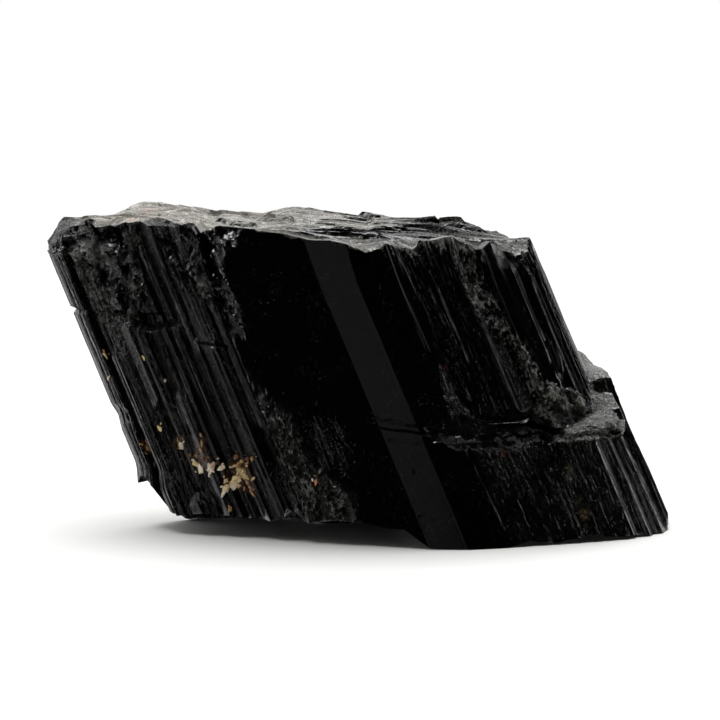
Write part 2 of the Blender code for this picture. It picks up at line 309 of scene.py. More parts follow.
def whole_solid(node):
    """The CAD crystal's points, in millimetres, and its faces with their zones."""
    bm = bmesh.new()
    bm.from_mesh(node.data)
    bmesh.ops.remove_doubles(bm, verts=bm.verts[:], dist=1e-6)
    bm.verts.index_update()
    bm.normal_update()
    points = [np.array(vert.co) / MM for vert in bm.verts]
    faces = [([vert.index for vert in face.verts], zone_of(face)) for face in bm.faces]
    bm.free()
    return points, faces


# Where the crystal is cut finer, as boxes: ranges of across, depth and height.
FAR = 999.0
ALL = (-FAR, FAR)
FRONT = ((ALL, (-FAR, FRONT_DEPTH), ALL),)
BACK = ((ALL, (FRONT_DEPTH, FAR), ALL),)
BLACK_FACES = (((-13.2, 7.4), (-FAR, 9.0), ALL),)
RIBBED = (
    (ALL, (9.0, FRONT_DEPTH), ALL),
    ((-FAR, -13.2), (-FAR, 9.0), ALL),
    ((7.4, FAR), (-FAR, 9.0), ALL),
)
ENDS = (((25.4, FAR), ALL, ALL), ((-FAR, -33.0), ALL, ALL))
GAP = (((2.5, FAR), (-FAR, 16.0), (13.0, 21.5)),)
BATTERED = (((-FAR, -9.0), (-FAR, FRONT_DEPTH), (29.0, FAR)),)
FLAKED = (
    ((-18.5, -9.5), (-FAR, 9.0), (-FAR, 21.0)),  # the olive patch
    ((15.4, 22.5), (-FAR, FACING_DEPTH), (16.0, FAR)),  # the scaly strip
    ((7.6, 25.0), (-FAR, FACING_DEPTH), (-FAR, 14.4)),  # the lower block
    ((7.4, FAR), (-FAR, FACING_DEPTH), (38.0, FAR)),  # under the rim
)
LEDGE = (((26.0, FAR), ALL, (13.0, 26.0)),)
BROKEN_TOP = (((2.0, 23.0), (13.0, 33.0), ALL),)
EVERYWHERE = ((ALL, ALL, ALL),)
# How far the planes reach, in millimetres.
SIDE_SPAN, SIDE_HEIGHTS = (-38.0, 32.0), (0.3, 46.0)
TOP_X, BASE_X, SPAN_Y = (-46.0, 30.0), (-46.0, 46.0), (-24.0, 24.0)
BASE_CELL = 1.6


def in_boxes(boxes, places):
    """Whether each place is in one of the boxes."""
    return np.any([np.all([(value >= low) & (value < high)
                           for value, (low, high) in zip(places, box)], axis=0)
                   for box in boxes], axis=0)


def refined(node, settings):
    """The CAD crystal as one closed mesh of triangles, cut fine enough to carve."""
    points, faces = whole_solid(node)
    column, row, cell = settings.column, settings.row, settings.top_cell
    across_foot, depth_foot = float(FOOT @ ACROSS), float(FOOT @ DEPTH)

    def cut(zone, boxes, normal, reach, step, foot=0.0):
        """Cuts a zone's faces in the boxes by planes, a step apart over that reach."""
        nonlocal faces
        middles = np.array([sum(points[vert] for vert in face) / len(face) for face, _ in faces])
        across, depth = crystal_places(middles)
        zones = np.array([zone_here for _, zone_here in faces])
        chosen = (zones == zone) & in_boxes(boxes, (across, depth, middles[:, 2]))
        offsets = (np.arange(*reach, step) + foot).tolist()
        faces = cut_by_planes(points, faces, chosen, normal, offsets)

    cut(SIDE, BLACK_FACES, ACROSS, SIDE_SPAN, column * 2, across_foot)
    cut(SIDE, RIBBED, ACROSS, SIDE_SPAN, column, across_foot)
    cut(SIDE, BACK, ACROSS, SIDE_SPAN, column * 2.2, across_foot)
    cut(SIDE, ENDS, DEPTH, (9.0, 33.0), column * 1.4, depth_foot)
    cut(SIDE, FRONT, UPRIGHT, SIDE_HEIGHTS, row)
    cut(SIDE, BACK, UPRIGHT, SIDE_HEIGHTS, row * 1.4)
    cut(SIDE, GAP, UPRIGHT, (13.1, 21.5), 0.24)
    cut(SIDE, BATTERED, UPRIGHT, (29.1, 46.0), 0.36)
    cut(SIDE, FLAKED, UPRIGHT, (SIDE_HEIGHTS[0] + row / 2, SIDE_HEIGHTS[1]), row)
    cut(SIDE, LEDGE, DEPTH, (14.6, 20.6), 0.3, depth_foot)
    for line, _, _ in CRACKS:
        places, heights = zip(*line)
        low, high = min(heights) - 0.5, max(heights) + 0.5
        box = ((min(places) - 0.3, max(places) + 0.3), (-FAR, 16.0), (low - row, high + row))
        cut(SIDE, (box,), UPRIGHT, (low, high), 0.16)
    cut(TOP, EVERYWHERE, (1.0, 0.0, 0.0), TOP_X, cell * 1.5)
    cut(TOP, EVERYWHERE, (0.0, 1.0, 0.0), SPAN_Y, cell * 0.8)
    cut(TOP, BROKEN_TOP, (0.0, 1.0, 0.0), SPAN_Y, cell * 0.4)
    cut(BASE, EVERYWHERE, (1.0, 0.0, 0.0), BASE_X, BASE_CELL)
    cut(BASE, EVERYWHERE, (0.0, 1.0, 0.0), SPAN_Y, BASE_CELL)

    bm = bmesh.new()
    layer = bm.faces.layers.int.new("zone")
    verts = [bm.verts.new(point * MM) for point in points]
    for face, zone in faces:
        bm.faces.new([verts[vert] for vert in face])[layer] = zone
    bmesh.ops.triangulate(bm, faces=bm.faces[:], quad_method="BEAUTY", ngon_method="BEAUTY")
    bm.verts.index_update()
    bm.normal_update()
    return bm


# --- the crystal's side -----------------------------------------------------------------

# Patches of the front, as (across, height) corners.
BATTERED_LEFT = [(-38, 47), (-23, 47), (-23.6, 42), (-25.0, 37.7), (-26.4, 33.6), (-27.4, 29.6),
                 (-28.5, 29.2), (-30.2, 32.5), (-32, 37), (-34.4, 40), (-38, 41.5)]
BATTERED_RIGHT = [(-20.6, 47), (-9, 47), (-10.5, 43), (-13.4, 40.8), (-14.6, 38.3), (-14.4, 34.5),
                  (-14.9, 29.6), (-16.8, 29.2), (-17.0, 33), (-18.9, 33.8), (-20.3, 35.6),
                  (-20.3, 39.5)]
BEVEL = [(-21.4, 45.5), (-14.4, 45.5), (-15.6, 42.8), (-19, 41.6), (-21.6, 42.4)]
HOLLOW = [(-15.4, 45), (-10.8, 45), (-10.6, 42.2), (-14.8, 42.0)]
WORN_RIBS = [(-34.5, 41.5), (-31.8, 41.0), (-31.0, 36.5), (-29.3, 30.0), (-29.8, 25.0),
             (-32.2, 24.5), (-34.0, 30.0)]
OLIVE_PATCH = [(-16.5, 22), (-13.6, 18), (-13.8, 14), (-12.5, 10), (-10.0, 7.0), (-10.5, 3.5),
               (-13, 0), (-16.5, -1), (-17.2, 4), (-17.0, 9), (-16.8, 14)]
STRIATED_PATCH = [(-12.4, 16.9), (-11.0, 17.8), (-8.0, 17.8), (-6.6, 16.6), (-7.4, 12.0),
                  (-9.0, 9.8), (-13.4, 10.4)]
SCALY_STRIP = [(15.4, 44), (18.9, 44), (19.3, 36), (19.9, 31), (21.2, 27), (21.9, 21), (21.4, 17),
               (17.6, 17), (17.2, 27), (16.6, 31), (15.8, 37)]
SATIN_STRIP = [(16.1, 40.0), (17.0, 40.0), (17.6, 33.0), (19.3, 17.8), (17.3, 17.8), (16.6, 27.0),
               (16.2, 33.0)]
WEDGE = [(8.1, 25.4), (9.2, 25.2), (10.2, 17.4), (7.2, 17.4)]
PLATE_STEP = [(3.7, 26.9), (7.5, 26.8), (7.5, 21.0), (3.7, 21.0)]
SLOT = [(3.6, 16.9), (8, 17.9), (12, 18.3), (17.2, 18.2), (20, 17.2), (20, 14.2), (12, 13.8),
        (8, 13.8), (3.6, 15.2)]
LUMP = [(18.0, 17.6), (20.5, 20.6), (22.6, 22.0), (25.0, 20.8), (27.2, 18.4), (27.6, 16.4),
        (17.6, 15.6)]
TREAD_FACE = [(19.6, 14.9), (21.2, 15.5), (22.8, 16.0), (25.8, 16.9), (27.2, 17.4), (28.8, 17.6),
              (28.8, 13.7), (19.6, 13.7)]
LOWER_BLOCK = [(8.4, 14.2), (32, 14.5), (32, -1), (8.4, -1)]

# Ribs: range of widths, lean and rounding as shares of the width, how far slivers drop out, and
# range of their lengths. The layers lie level, in the slot between the two blocks.
BROAD_RIBS = {"widths": (0.7, 2.0), "lean": 0.34, "crown": 0.16, "drop": 0.05,
              "lengths": (16.0, 60.0)}
FINE_RIBS = {"widths": (0.24, 0.7), "lean": 0.42, "crown": 0.20, "drop": 0.05,
             "lengths": (8.0, 36.0)}
LAYERS = {"widths": (0.3, 0.75), "lean": 0.3, "crown": 0.3, "drop": 1.4, "lengths": (2.5, 9.0)}
# How strong the broad ribs and the fine ribs are, at places round the crystal.
RIB_STRENGTH = (
    (-60.0, 0.7, 0.7), (-34.2, 0.9, 0.9), (-31.2, 0.8, 0.9), (-31.0, 0.7, 0.35), (-27.6, 0.7, 0.35),
    (-27.4, 0.5, 0.5), (-25.4, 0.5, 0.6), (-25.2, 0.6, 1.1), (-21.9, 0.6, 1.1), (-21.7, 0.4, 0.6),
    (-19.5, 0.4, 0.6), (-19.3, 0.7, 0.9), (-17.0, 0.7, 0.8), (-16.4, 0.0, 0.05), (7.5, 0.0, 0.03),
    (7.7, 0.08, 0.4), (12.2, 0.08, 0.4), (12.4, 0.12, 0.85), (17.1, 0.12, 0.85), (17.4, 0.1, 0.2),
    (19.8, 0.1, 0.2), (20.2, 0.05, 0.08), (25.2, 0.05, 0.08), (25.5, 0.8, 1.2), (60.0, 0.7, 1.1),
    (99.0, 0.9, 0.7), (300.0, 0.9, 0.7),
)
# Chips: how much longer they are than wide, their width, slope, and how bowl-like they are.
CHIPS = {
    "splinters": (2.6, 1.5, 0.9, 0.3),
    "middling": (1.5, 0.9, 1.0, 0.3),
    "small": (1.2, 0.45, 1.2, 0.1),
    "knobs": (1.0, 1.5, 0.5, -1.3),
}

# Grooves between the ribs that crushed rock has partly filled: across, half width, fill.
FILLED = ((-30.7, 0.75, 0.85), (-27.5, 0.65, 0.8), (-18.8, 0.9, 0.5), (-24.7, 0.7, 0.3))
# The black face runs on to the left in one plane from this (across, depth), at this slope.
BLACK_EDGE, BLACK_SLOPE = (-13.2, 3.8), 0.3255
# The faces right of the middle, as (across, depth), where they lie flush.
UPPER_FACES = ((2.6, 0.0), (7.4, 1.45), (12.8, 3.5), (15.4, 4.4), (18.6, 6.1), (25.0, 8.6),
               (28.0, 12.0))
LOWER_FACES = ((7.4, 1.4), (12.8, 3.4), (18.0, 5.3), (25.0, 8.5), (28.0, 12.0))
# Where they come flush from the left, the right, and the slot, and the most they are filled.
FLUSH = (
    (UPPER_FACES, (7.0, 7.4), (17.2, 16.4), (17.8, 18.4), 0.7),
    (LOWER_FACES, (7.0, 7.4), (25.2, 24.5), (14.4, 13.8), 0.5),
)
FLUSH_FILL = 0.95
# The slot's floor, as (across, height).
SLOT_SHELF = ((3.6, 15.2), (8, 13.8), (12, 13.8), (20, 14.2))
# Thin ridges between flat faces, as (across, height) lines: half width and height.
RIDGES = (
    ([(7.7, 43.0), (7.9, 26.8)], 0.24, 0.15),
    ([(9.0, 40.0), (10.1, 28.7)], 0.40, 0.12),
    ([(24.3, 28.2), (24.95, 26.8), (25.0, 25.2), (24.6, 23.6), (23.7, 22.0)], 0.34, 0.30),
    ([(23.0, 25.6), (23.6, 24.4), (23.4, 22.6)], 0.3, 0.18),
    ([(3.8, 13.9), (5.6, 14.6), (7.4, 13.4), (8.1, 2.0)], 0.24, 0.12),
    ([(9.2, 13.6), (10.9, 13.4), (11.5, 11.8), (11.4, 2.6)], 0.22, 0.10),
)
# Cracks, as (across, height) lines: half width and depth. The shallowest is a dusty scratch.
CRACKS = (
    ([(-2.2, 35.3), (0.6, 34.8), (3.2, 35.0)], 0.20, 0.035),
    ([(-1.9, 27.3), (0.4, 26.9), (2.8, 27.3)], 0.20, 0.035),
    ([(-2.0, 18.3), (-0.4, 17.7), (1.6, 17.2), (4.6, 17.0)], 0.24, 0.06),
    ([(-1.8, 15.2), (0.8, 14.9), (4.0, 14.5)], 0.22, 0.045),
    ([(-2.0, 4.6), (2.2, 4.3)], 0.20, 0.03),
    ([(-28.0, 29.4), (-26.0, 29.7), (-23.6, 30.3)], 0.5, 0.9),
    ([(-21.4, 27.7), (-18.0, 27.3)], 0.3, 0.5),
    ([(-22.2, 16.9), (-20.8, 16.8)], 0.2, 0.3),
    ([(-31.9, 32.8), (-30.6, 32.2)], 0.25, 0.4),
    ([(16.8, 31.7), (19.2, 32.0)], 0.2, 0.3),
    ([(-11.2, 33.9), (-9.9, 33.9)], 0.2, 0.02),
)
SCRATCH_DEPTH = 0.03
# Steps of the ledge behind the upper block: depth, and how far the step stands off the slope.
LEDGE_STEPS = (
    (13.0, 0.0), (15.5, -0.3), (15.9, 1.6), (17.6, 0.3), (19.3, -0.6), (19.8, 1.4), (22.0, 0.4),
    (25.0, -1.2), (30.0, -1.2),
)
LEDGE_RISERS = (15.7, 19.55)


def across_the_side(across, depth):
    """Distance round the crystal: across on its front, then on round its ends."""
    beyond = np.maximum(depth - ENDS_DEPTH, 0.0)
    turned = np.where(across > MIDDLE_ACROSS, across + beyond, across - beyond)
    return np.where(depth > FRONT_DEPTH, across + BACK_ROUND, turned)


class SidePlaces:
    """Where each vertex is on the crystal's side, the noise and chips there, and its share in
    each patch."""

    def __init__(self, points, normals, below, seed):
        self.across, self.depth = across, depth = crystal_places(points)
        self.height = height = points[:, 2]
        self.below = below  # the rim of the top break
        self.ring = across_the_side(across, depth)
        self.front = front = depth < FRONT_DEPTH
        self.facing_front = depth < FACING_DEPTH

        # The patches have ragged edges, and the chips wander.
        self.waver = field(across * 0.9, height * 0.35, depth * 0.5, 5)
        fine_waver = field(across * 3.0, height * 1.2, depth, 6)
        self.rough_x = across + 0.45 * self.waver + 0.15 * fine_waver
        self.rough_z = height + 1.1 * field(across * 1.3, height * 0.5, depth * 0.5, 7)
        for number, (name, (stretch, *shape)) in enumerate(CHIPS.items(), 2):
            stretched = self.rough_z / stretch
            setattr(self, name, chip_relief(self.rough_x, stretched, seed + number, *shape))

        self.bevel = self.zone(BEVEL, 0.6, front)
        self.battered = np.maximum(self.zone(BATTERED_LEFT, 1.6, front),
                                   self.zone(BATTERED_RIGHT, 1.6, front))
        self.battered *= (1 - 0.8 * self.bevel) * (0.15 + 0.85 * smooth_step(0.0, 1.4, below))
        self.hollow = self.zone(HOLLOW, 0.8, depth < 15)
        self.worn_ribs = self.zone(WORN_RIBS, 1.2, front)
        self.olive = self.zone(OLIVE_PATCH, 3.0)
        self.striated = self.zone(STRIATED_PATCH, 2.0)
        smooth_half = smooth_step(19.4, 18.8, across) * smooth_step(28.5, 27.0, height)
        self.scaly = self.zone(SCALY_STRIP, 0.9) * (1 - 0.75 * smooth_half)
        self.satin = self.zone(SATIN_STRIP, 0.4) * (1 - self.scaly)
        self.wedge = self.zone(WEDGE, 0.5)
        self.slot = self.zone(SLOT, 0.3)
        self.sloped = within(across, height, TREAD_FACE, 0.4) * (depth < 14.5)
        self.lump = self.zone(LUMP, 0.8, depth < 20) * (1 - self.sloped)
        level = np.clip((normals[:, 2] - 0.35) / 0.3, 0.0, 1.0)
        self.flat_tread = level * (across > 19.0) * (height < 30.0)
        self.lower = within(across, height, LOWER_BLOCK, 0.6) * (depth < 26)
        self.lower_right = smooth_step(24.5, 25.5, across)

    def zone(self, corners, soft, where=None):
        """Each place's share in a ragged patch."""
        where = self.facing_front if where is None else where
        return within(self.rough_x, self.rough_z, corners, soft) * where

    def behind(self, faces):
        """How far each place lies behind flush faces."""
        return self.depth - np.interp(self.across, *zip(*faces))

    def on_line(self, line, half_width, stray=0.0):
        """1 on a line across the front, which may stray a little, falling to 0 beside it."""
        height = self.height + stray * self.waver
        return crest(self.across, height, line, half_width) * self.facing_front


def side_relief(at, settings):
    """How far each place on the side stands out, in millimetres, and how worn its ribs are."""
    across, height, seed = at.across, at.height, settings.seed
    splinters, middling, small = at.splinters, at.middling, at.small

    # Ribs, which stop at the lower block's rim.
    wide, wide_drop = rib_relief(at.ring, height, seed, **BROAD_RIBS)
    fine, fine_drop = rib_relief(at.ring, height, seed + 1, **FINE_RIBS)
    places, broad_strength, fine_strength = (np.array(column) for column in zip(*RIB_STRENGTH))
    broad = np.interp(at.ring, places, broad_strength) * settings.rib_depth
    narrow = np.interp(at.ring, places, fine_strength) * settings.rib_depth
    below_rim = smooth_step(14.6, 13.2, height)
    narrow = narrow * (1 - at.lower) + at.lower * 0.25 * below_rim
    broad = broad * (1 - at.lower) + at.lower * (0.28 - 0.2 * at.lower_right) * below_rim
    narrow = np.maximum(narrow, 0.28 * at.striated)
    relief = broad * wide + 0.9 * narrow * fine
    worn = np.clip(broad * wide_drop * 1.6 + narrow * fine_drop * 2.5, 0.0, 0.3)

    # Steps of the solid that the real faces don't have are filled flush, and some grooves too.
    behind_black = at.depth - (BLACK_EDGE[1] + (BLACK_EDGE[0] - across) * BLACK_SLOPE)
    black = at.facing_front * smooth_step(-16.9, -16.4, across) * (across < BLACK_EDGE[0])
    relief += black * np.clip(behind_black, 0.0, 1.6)
    for faces, left, right, slot_edge, deepest in FLUSH:
        flush = smooth_step(*left, across) * smooth_step(*right, across)
        flush *= smooth_step(*slot_edge, height)
        relief += FLUSH_FILL * flush * at.facing_front * np.clip(at.behind(faces), 0.0, deepest)
    for middle, half_width, fill in FILLED:
        closeness = np.clip(1 - np.abs(across - middle) / half_width, 0.0, 1.0)
        relief += fill * closeness * at.facing_front

    # Chips and flakes.
    crushed = 0.75 * splinters + 0.55 * middling + 0.25 * small - 0.3
    relief = relief * (1 - 0.4 * at.battered) + at.battered * crushed
    relief += at.olive * (0.40 * middling + 0.34 * small + 0.3 * narrow * fine)
    relief += at.lump * (0.35 + 0.6 * at.knobs + 0.26 * small)
    relief += at.scaly * (0.3 * middling + 0.26 * small)
    relief += at.wedge * (0.12 * middling + 0.12 * small)
    relief += at.lower * (1 - 0.7 * at.lower_right) * (0.10 * middling + 0.05 * small)

    # The slot between the blocks, in layers, and the tread and its sloping front.
    behind_upper = at.behind(UPPER_FACES)
    layers, _ = rib_relief(height + 0.02 * across, across, seed + 6, **LAYERS)
    plates = np.clip(behind_upper - 0.7 + 0.3 * layers, -1.2, 1.6)
    relief = relief * (1 - at.slot) + at.slot * plates
    relief = relief * (1 - at.flat_tread) + at.flat_tread * 0.05 * small
    slope = np.interp(height, (13.9, 17.4), (0.9, -1.6)) + 0.05 * small
    relief = relief * (1 - at.sloped) + at.sloped * np.clip(behind_upper + slope, -2.5, 3.5)

    # A thin plate by the band, a dip behind the lump, and the left foot, which bulges.
    plate = within(across, height, PLATE_STEP, 0.5) * at.facing_front
    relief += 0.06 * plate * smooth_step(21.0, 26.9, height)
    dip = smooth_step(25.0, 28.0, across) * smooth_step(6.0, 12.0, height)
    relief -= 0.25 * dip * smooth_step(21.0, 17.0, height)
    left_foot = 0.9 * smooth_step(-28.0, -31.0, across) * smooth_step(9.5, 6.0, height)
    relief += left_foot * (at.depth < 30.0)

    for line, half_width, tall in RIDGES:
        relief += tall * at.on_line(line, half_width)
    for line, half_width, deep in CRACKS:
        relief -= deep * at.on_line(line, half_width, CRACK_WAVER)
    return relief - 1.6 * at.hollow, worn


def side_finish(at, worn):
    """How broken, dusty and olive each place on the side is, with painted shade that
    keeps its deep places and the ledge's risers dark.
    """
    across, depth, height, small = at.across, at.depth, at.height, at.small
    speckle = np.clip(0.5 + 1.2 * small, 0.0, 1.0)
    flaky = np.clip(0.28 + 0.7 * small + 0.6 * at.middling, 0.0, 0.8)
    drift = np.clip(0.25 + 1.3 * field(across * 0.25, height * 0.16, depth * 0.2, 9), 0.0, 1.0)

    # Dust has fallen over the rim of the top, in ragged patches.
    ragged = 1.5 * at.middling + 0.9 * small + 1.6 * smooth_step(0.2, -0.3, at.waver)
    shed = smooth_step(1.9, 0.4, at.below + ragged) * smooth_step(7.0, 8.6, across) * at.front
    shed *= 1 - 0.9 * smooth_step(20.5, 21.5, across)
    left = smooth_step(-15.0, -17.0, across) * at.front
    striae = smooth_step(8.4, 9.6, across) * smooth_step(17.6, 17.0, across) * at.front
    striae *= (1 - at.lower) * (1 - at.slot)
    above_shelf = at.rough_z - np.interp(across, *zip(*SLOT_SHELF))
    shelf = smooth_step(0.8, 0.4, np.abs(above_shelf - 0.3)) * at.facing_front
    shelf *= smooth_step(3.4, 4.6, across) * smooth_step(20.4, 19.8, across)

    # Each place's share in a patch, and how dusty, broken and olive the patch is.
    patches = (
        (at.olive, flaky, 0.35, 0.9),
        (at.scaly, np.clip(1.15 * flaky + 0.12, 0.0, 0.9), 0.35, 0.0),
        (at.satin, 0.45, 0.5, 0.0),
        (at.wedge, 0.7 * flaky, 0.3, 0.0),
        (np.maximum(at.flat_tread, at.sloped), 0.5 + 0.35 * speckle, 0.35, 0.5),
        (at.lump, 0.7 + 0.9 * at.knobs, 0.65, 0.0),
        (at.lower, 0.05 + 0.6 * drift * flaky, 0.02 + 0.24 * drift, 0.2 * (1 - at.lower_right)),
        (at.battered, np.clip(at.splinters + 1.1 * small, 0.0, 0.7),
         np.clip(0.15 + 0.8 * at.splinters, 0.0, 0.6), 0.0),
        (at.bevel, 0.4, 0.35, 0.0),
        (at.striated, 0.25, 0.15, 0.0),
        (at.worn_ribs, 0.55, 0.3, 0.0),
        (left, 0.14, 0.24, 0.0),
        (striae, 0.0, 0.16, 0.0),
        (shed, 0.85, 0.5, 0.0),
        (shelf, 0.25 * speckle, 0.5, 0.0),
        (at.slot, 0.0, 0.0, 0.3),
        (at.ring > 60.0, 0.0, 0.25, 0.0),
        (across > 25.3, 0.0, 0.2, 0.0),
        (worn, 0.0, 1.0, 0.0),
    )
    dust, broken, green = (np.maximum.reduce([share * patch[part] for share, *patch in patches])
                           for part in range(3))

    # Painted shade: the deep places (the hollow and the slot) and the ledge's risers lose their
    # dust and half their grey, so that they stay dark as if in shade; in part they are clean black
    # breaks.
    risers = np.zeros(len(across))
    for middle in LEDGE_RISERS:
        risers = np.maximum(risers, 1 - smooth_step(0.2, 0.7, np.abs(depth - middle)))
    risers *= smooth_step(27.6, 29.0, across) * (height > 13.0) * (height < 28.0)
    in_slot = within(across, height + 0.5, SLOT, 0.8) * at.facing_front
    dark = np.maximum.reduce([at.hollow, in_slot, at.slot]) * (1 - shelf)
    dark = np.maximum(dark, risers)
    dust *= 1 - dark
    for line, half_width, deep in CRACKS:
        here = at.on_line(line, half_width, CRACK_WAVER)
        broken = np.maximum(broken, here * smooth_step(0.3, 0.8, deep))
        if deep < SCRATCH_DEPTH:
            dust = np.maximum(dust, 0.6 * here)
    return broken * (1 - 0.5 * dark), dust, green


# --- the top break ----------------------------------------------------------------------

# How dusty the top is, by X; heavier to the left, which there is partly a painted highlight.
TOP_DUST_AND_SHEEN = (
    (-44.0, 0.0), (-41.5, 0.35), (-39.0, 1.0), (-20.0, 0.95), (-5.0, 0.8), (6.0, 0.6), (25.0, 0.35),
)
# Along the top's rims, by X: Y and lift of the front rim, and Y and lift of the back rim.
TOP_RIMS = (
    (-45.0, -0.5, -0.6, 8.6, -1.0), (-42.6, -0.5, 0.0, 8.9, -0.4), (-37.5, -2.4, 0.0, 12.5, -0.4),
    (-36.0, -3.5, 0.0, 13.6, -0.4), (-33.5, -5.9, 0.0, 15.2, -0.4), (-29.7, -8.6, 0.3, 16.8, 0.1),
    (-26.5, -8.6, 0.4, 18.4, 0.2), (-25.0, -9.2, 0.7, 19.3, 0.0), (-23.8, -10.0, 2.3, 20.0, -0.3),
    (-22.6, -9.5, 2.8, 20.6, -0.5), (-20.0, -12.4, 1.9, 21.6, -0.9),
    (-17.8, -13.0, 1.9, 22.4, -0.6), (-14.4, -14.0, 1.8, 21.6, -0.5),
    (-10.4, -15.4, 1.1, 21.4, -0.25), (-6.7, -16.2, 0.8, 21.5, -0.3),
    (-3.9, -16.4, 1.0, 21.0, -0.6), (-1.7, -16.6, 1.2, 20.7, -0.8), (1.1, -16.0, 0.7, 19.9, -0.85),
    (3.5, -15.1, 0.9, 18.6, -0.9), (4.8, -14.4, 0.3, 18.2, -0.8), (5.8, -13.9, -0.6, 18.0, -0.75),
    (8.0, -13.0, -0.8, 17.3, -0.5), (8.5, -12.8, 0.6, 17.1, -0.5), (11.3, -11.5, 1.1, 15.6, -0.9),
    (15.2, -9.3, 1.6, 13.2, -0.9), (18.7, -8.4, 0.6, 9.8, -0.8), (20.6, -6.2, 0.0, 8.4, -0.25),
    (24.3, -4.4, 0.8, 4.4, -0.2),
)
# Where the front of the top has lost its dust, as (x, y) corners.
TOP_CLEAN = [(-31, -10), (-24.5, -11.5), (-17.5, -17.5), (-15, -15), (-16.5, -11), (-20, -9),
             (-24, -7.4), (-30, -7)]
# How far the top has sunk, by X.
TOP_SUNK = (
    (-46.0, 2.6), (-43.5, 2.0), (-40.0, 1.7), (-37.0, 1.2), (-33.5, 0.3), (-31.0, 0.0),
    (-24.0, 0.0), (-21.0, 0.7), (-14.0, 0.7), (-10.5, 0.0),
)
# Slabs that stand proud of the top break, as (x, y) corners, and their lift.
TOP_SLABS = (
    ([(2.0, 9.4), (6.0, 7.4), (9.6, 8.6), (11.4, 9.0), (12.0, 24.0), (0.0, 24.0)], 0.7),
    ([(-3.4, 2.2), (2.4, -1.1), (7.0, 0.6), (5.0, 4.5), (-2.0, 4.0)], 0.55),
    ([(11.6, 7.6), (14.6, 6.6), (18.0, 4.6), (19.0, 7.5), (12.4, 10.6)], 0.6),
    ([(-2.2, 14.0), (3.2, 13.2), (3.0, 16.0), (-2.0, 16.6)], 0.45),
    ([(-20.6, 2.6), (-18.4, 0.6), (-15.6, 0.2), (-14.6, 2.0), (-17.0, 5.0), (-20.0, 5.4)], 0.5),
)
SLAB_EDGE = 0.36  # softness of a slab's edge
# Shingles of three sizes: seed, how far apart they lie and how tall they are.
SHINGLES = ((11, 5.2, 0.75), (21, 2.1, 0.42), (31, 0.95, 0.16))
RIM_REACH, BACK_RIM_REACH = 6.0, 5.0  # how far in from the rims their lift goes


def shingles(x, y, seed, period, tall):
    """Thin slabs that overlap: each rises at its front edge and falls away to the back. Also
    where their front edges are."""
    flat = np.zeros(len(x))
    drift = field(x * 0.045, y * 0.10, flat, seed)
    row = (y + 0.08 * x + 2.4 * drift) / period
    index = np.floor(row)
    strength = np.clip(0.45 + 1.6 * field(x * 0.07, index * 3.7, flat, seed + 1), 0.0, 1.0)
    edge = np.clip(2.0 - (row - index) * period / 0.3, 0.0, 1.0) * smooth_step(0.3, 0.7, strength)
    return tall * strength * (1 - row + index), edge


def top_relief(points):
    """How far each place of the top break is raised by the thin slabs it broke into, its grain,
    and how clean of dust it is. The slabs' risers are cleared to black as painted shade."""
    x, y = points[:, 0], points[:, 1]
    flat = np.zeros(len(x))
    short = field(x * 0.22, y * 1.1, flat, 3)
    grain = field(x * 0.7, y * 1.8, flat, 4)
    raised, clean = 0.07 * short + 0.04 * grain - 0.32, flat
    # The shingles' front edges are cleared of dust as painted shade, over the middle of the top.
    worn = smooth_step(-14.0, -2.0, x) * (1 - 0.6 * smooth_step(6.0, 12.0, x))
    for seed, period, tall in SHINGLES:
        slabs, edge = shingles(x, y, seed, period, tall)
        raised = raised + slabs
        clean = np.maximum(clean, edge * min(1.0, 2.2 * tall) * worn)

    # The shingles die out towards the rims, which have lifts of their own.
    stations, front_y, front_lift, back_y, back_lift = (
        np.array(column) for column in zip(*TOP_RIMS))
    from_front = y - np.interp(x, stations, front_y)
    from_back = np.interp(x, stations, back_y) - y
    raised *= 0.35 + 0.65 * smooth_step(0.0, 2.5, np.minimum(from_front, from_back))
    raised += np.interp(x, stations, front_lift) * (1 - smooth_step(0.0, RIM_REACH, from_front))
    raised += np.interp(x, stations, back_lift) * (1 - smooth_step(0.0, BACK_RIM_REACH, from_back))
    raised -= np.interp(x, *zip(*TOP_SUNK))

    # The riser in front of a slab is a clean, black break, kept black also as painted shade.
    ragged_x, ragged_y = x + 0.8 * short, y + 0.5 * short + 0.25 * grain
    for corners, lift in TOP_SLABS:
        share = within(ragged_x, ragged_y, corners, SLAB_EDGE)
        raised += lift * share
        ahead = within(ragged_x, ragged_y + 0.4, corners, SLAB_EDGE)
        clean = np.maximum(clean, np.clip(1.6 * (ahead - share), 0.0, 1.0))
    return raised, grain, clean


# --- carving ----------------------------------------------------------------------------

RIM_DROP = 5.0  # how far down the side the rim's lift reaches
INNER_REACH = ((TOP, 0.9), (BASE, 1.6))  # how far in from the side its relief reaches
NOT_UNDER = 99.0  # how far below the rim a place is that has no rim over it


def tree_of(places, chosen):
    """A tree of the chosen places, for finding the nearest one."""
    tree = KDTree(int(chosen.sum()))
    for index in np.flatnonzero(chosen):
        tree.insert(places[index], int(index))
    tree.balance()
    return tree


def outward(across, depth):
    """The direction out of the crystal, square to its axis, at each place."""
    out = np.stack([(across - MIDDLE_ACROSS) / HALF_ACROSS ** 2,
                    (depth - MIDDLE_DEPTH) / HALF_DEPTH ** 2], axis=1)
    out /= np.linalg.norm(out, axis=1, keepdims=True)
    return out[:, :1] * ACROSS + out[:, 1:] * DEPTH


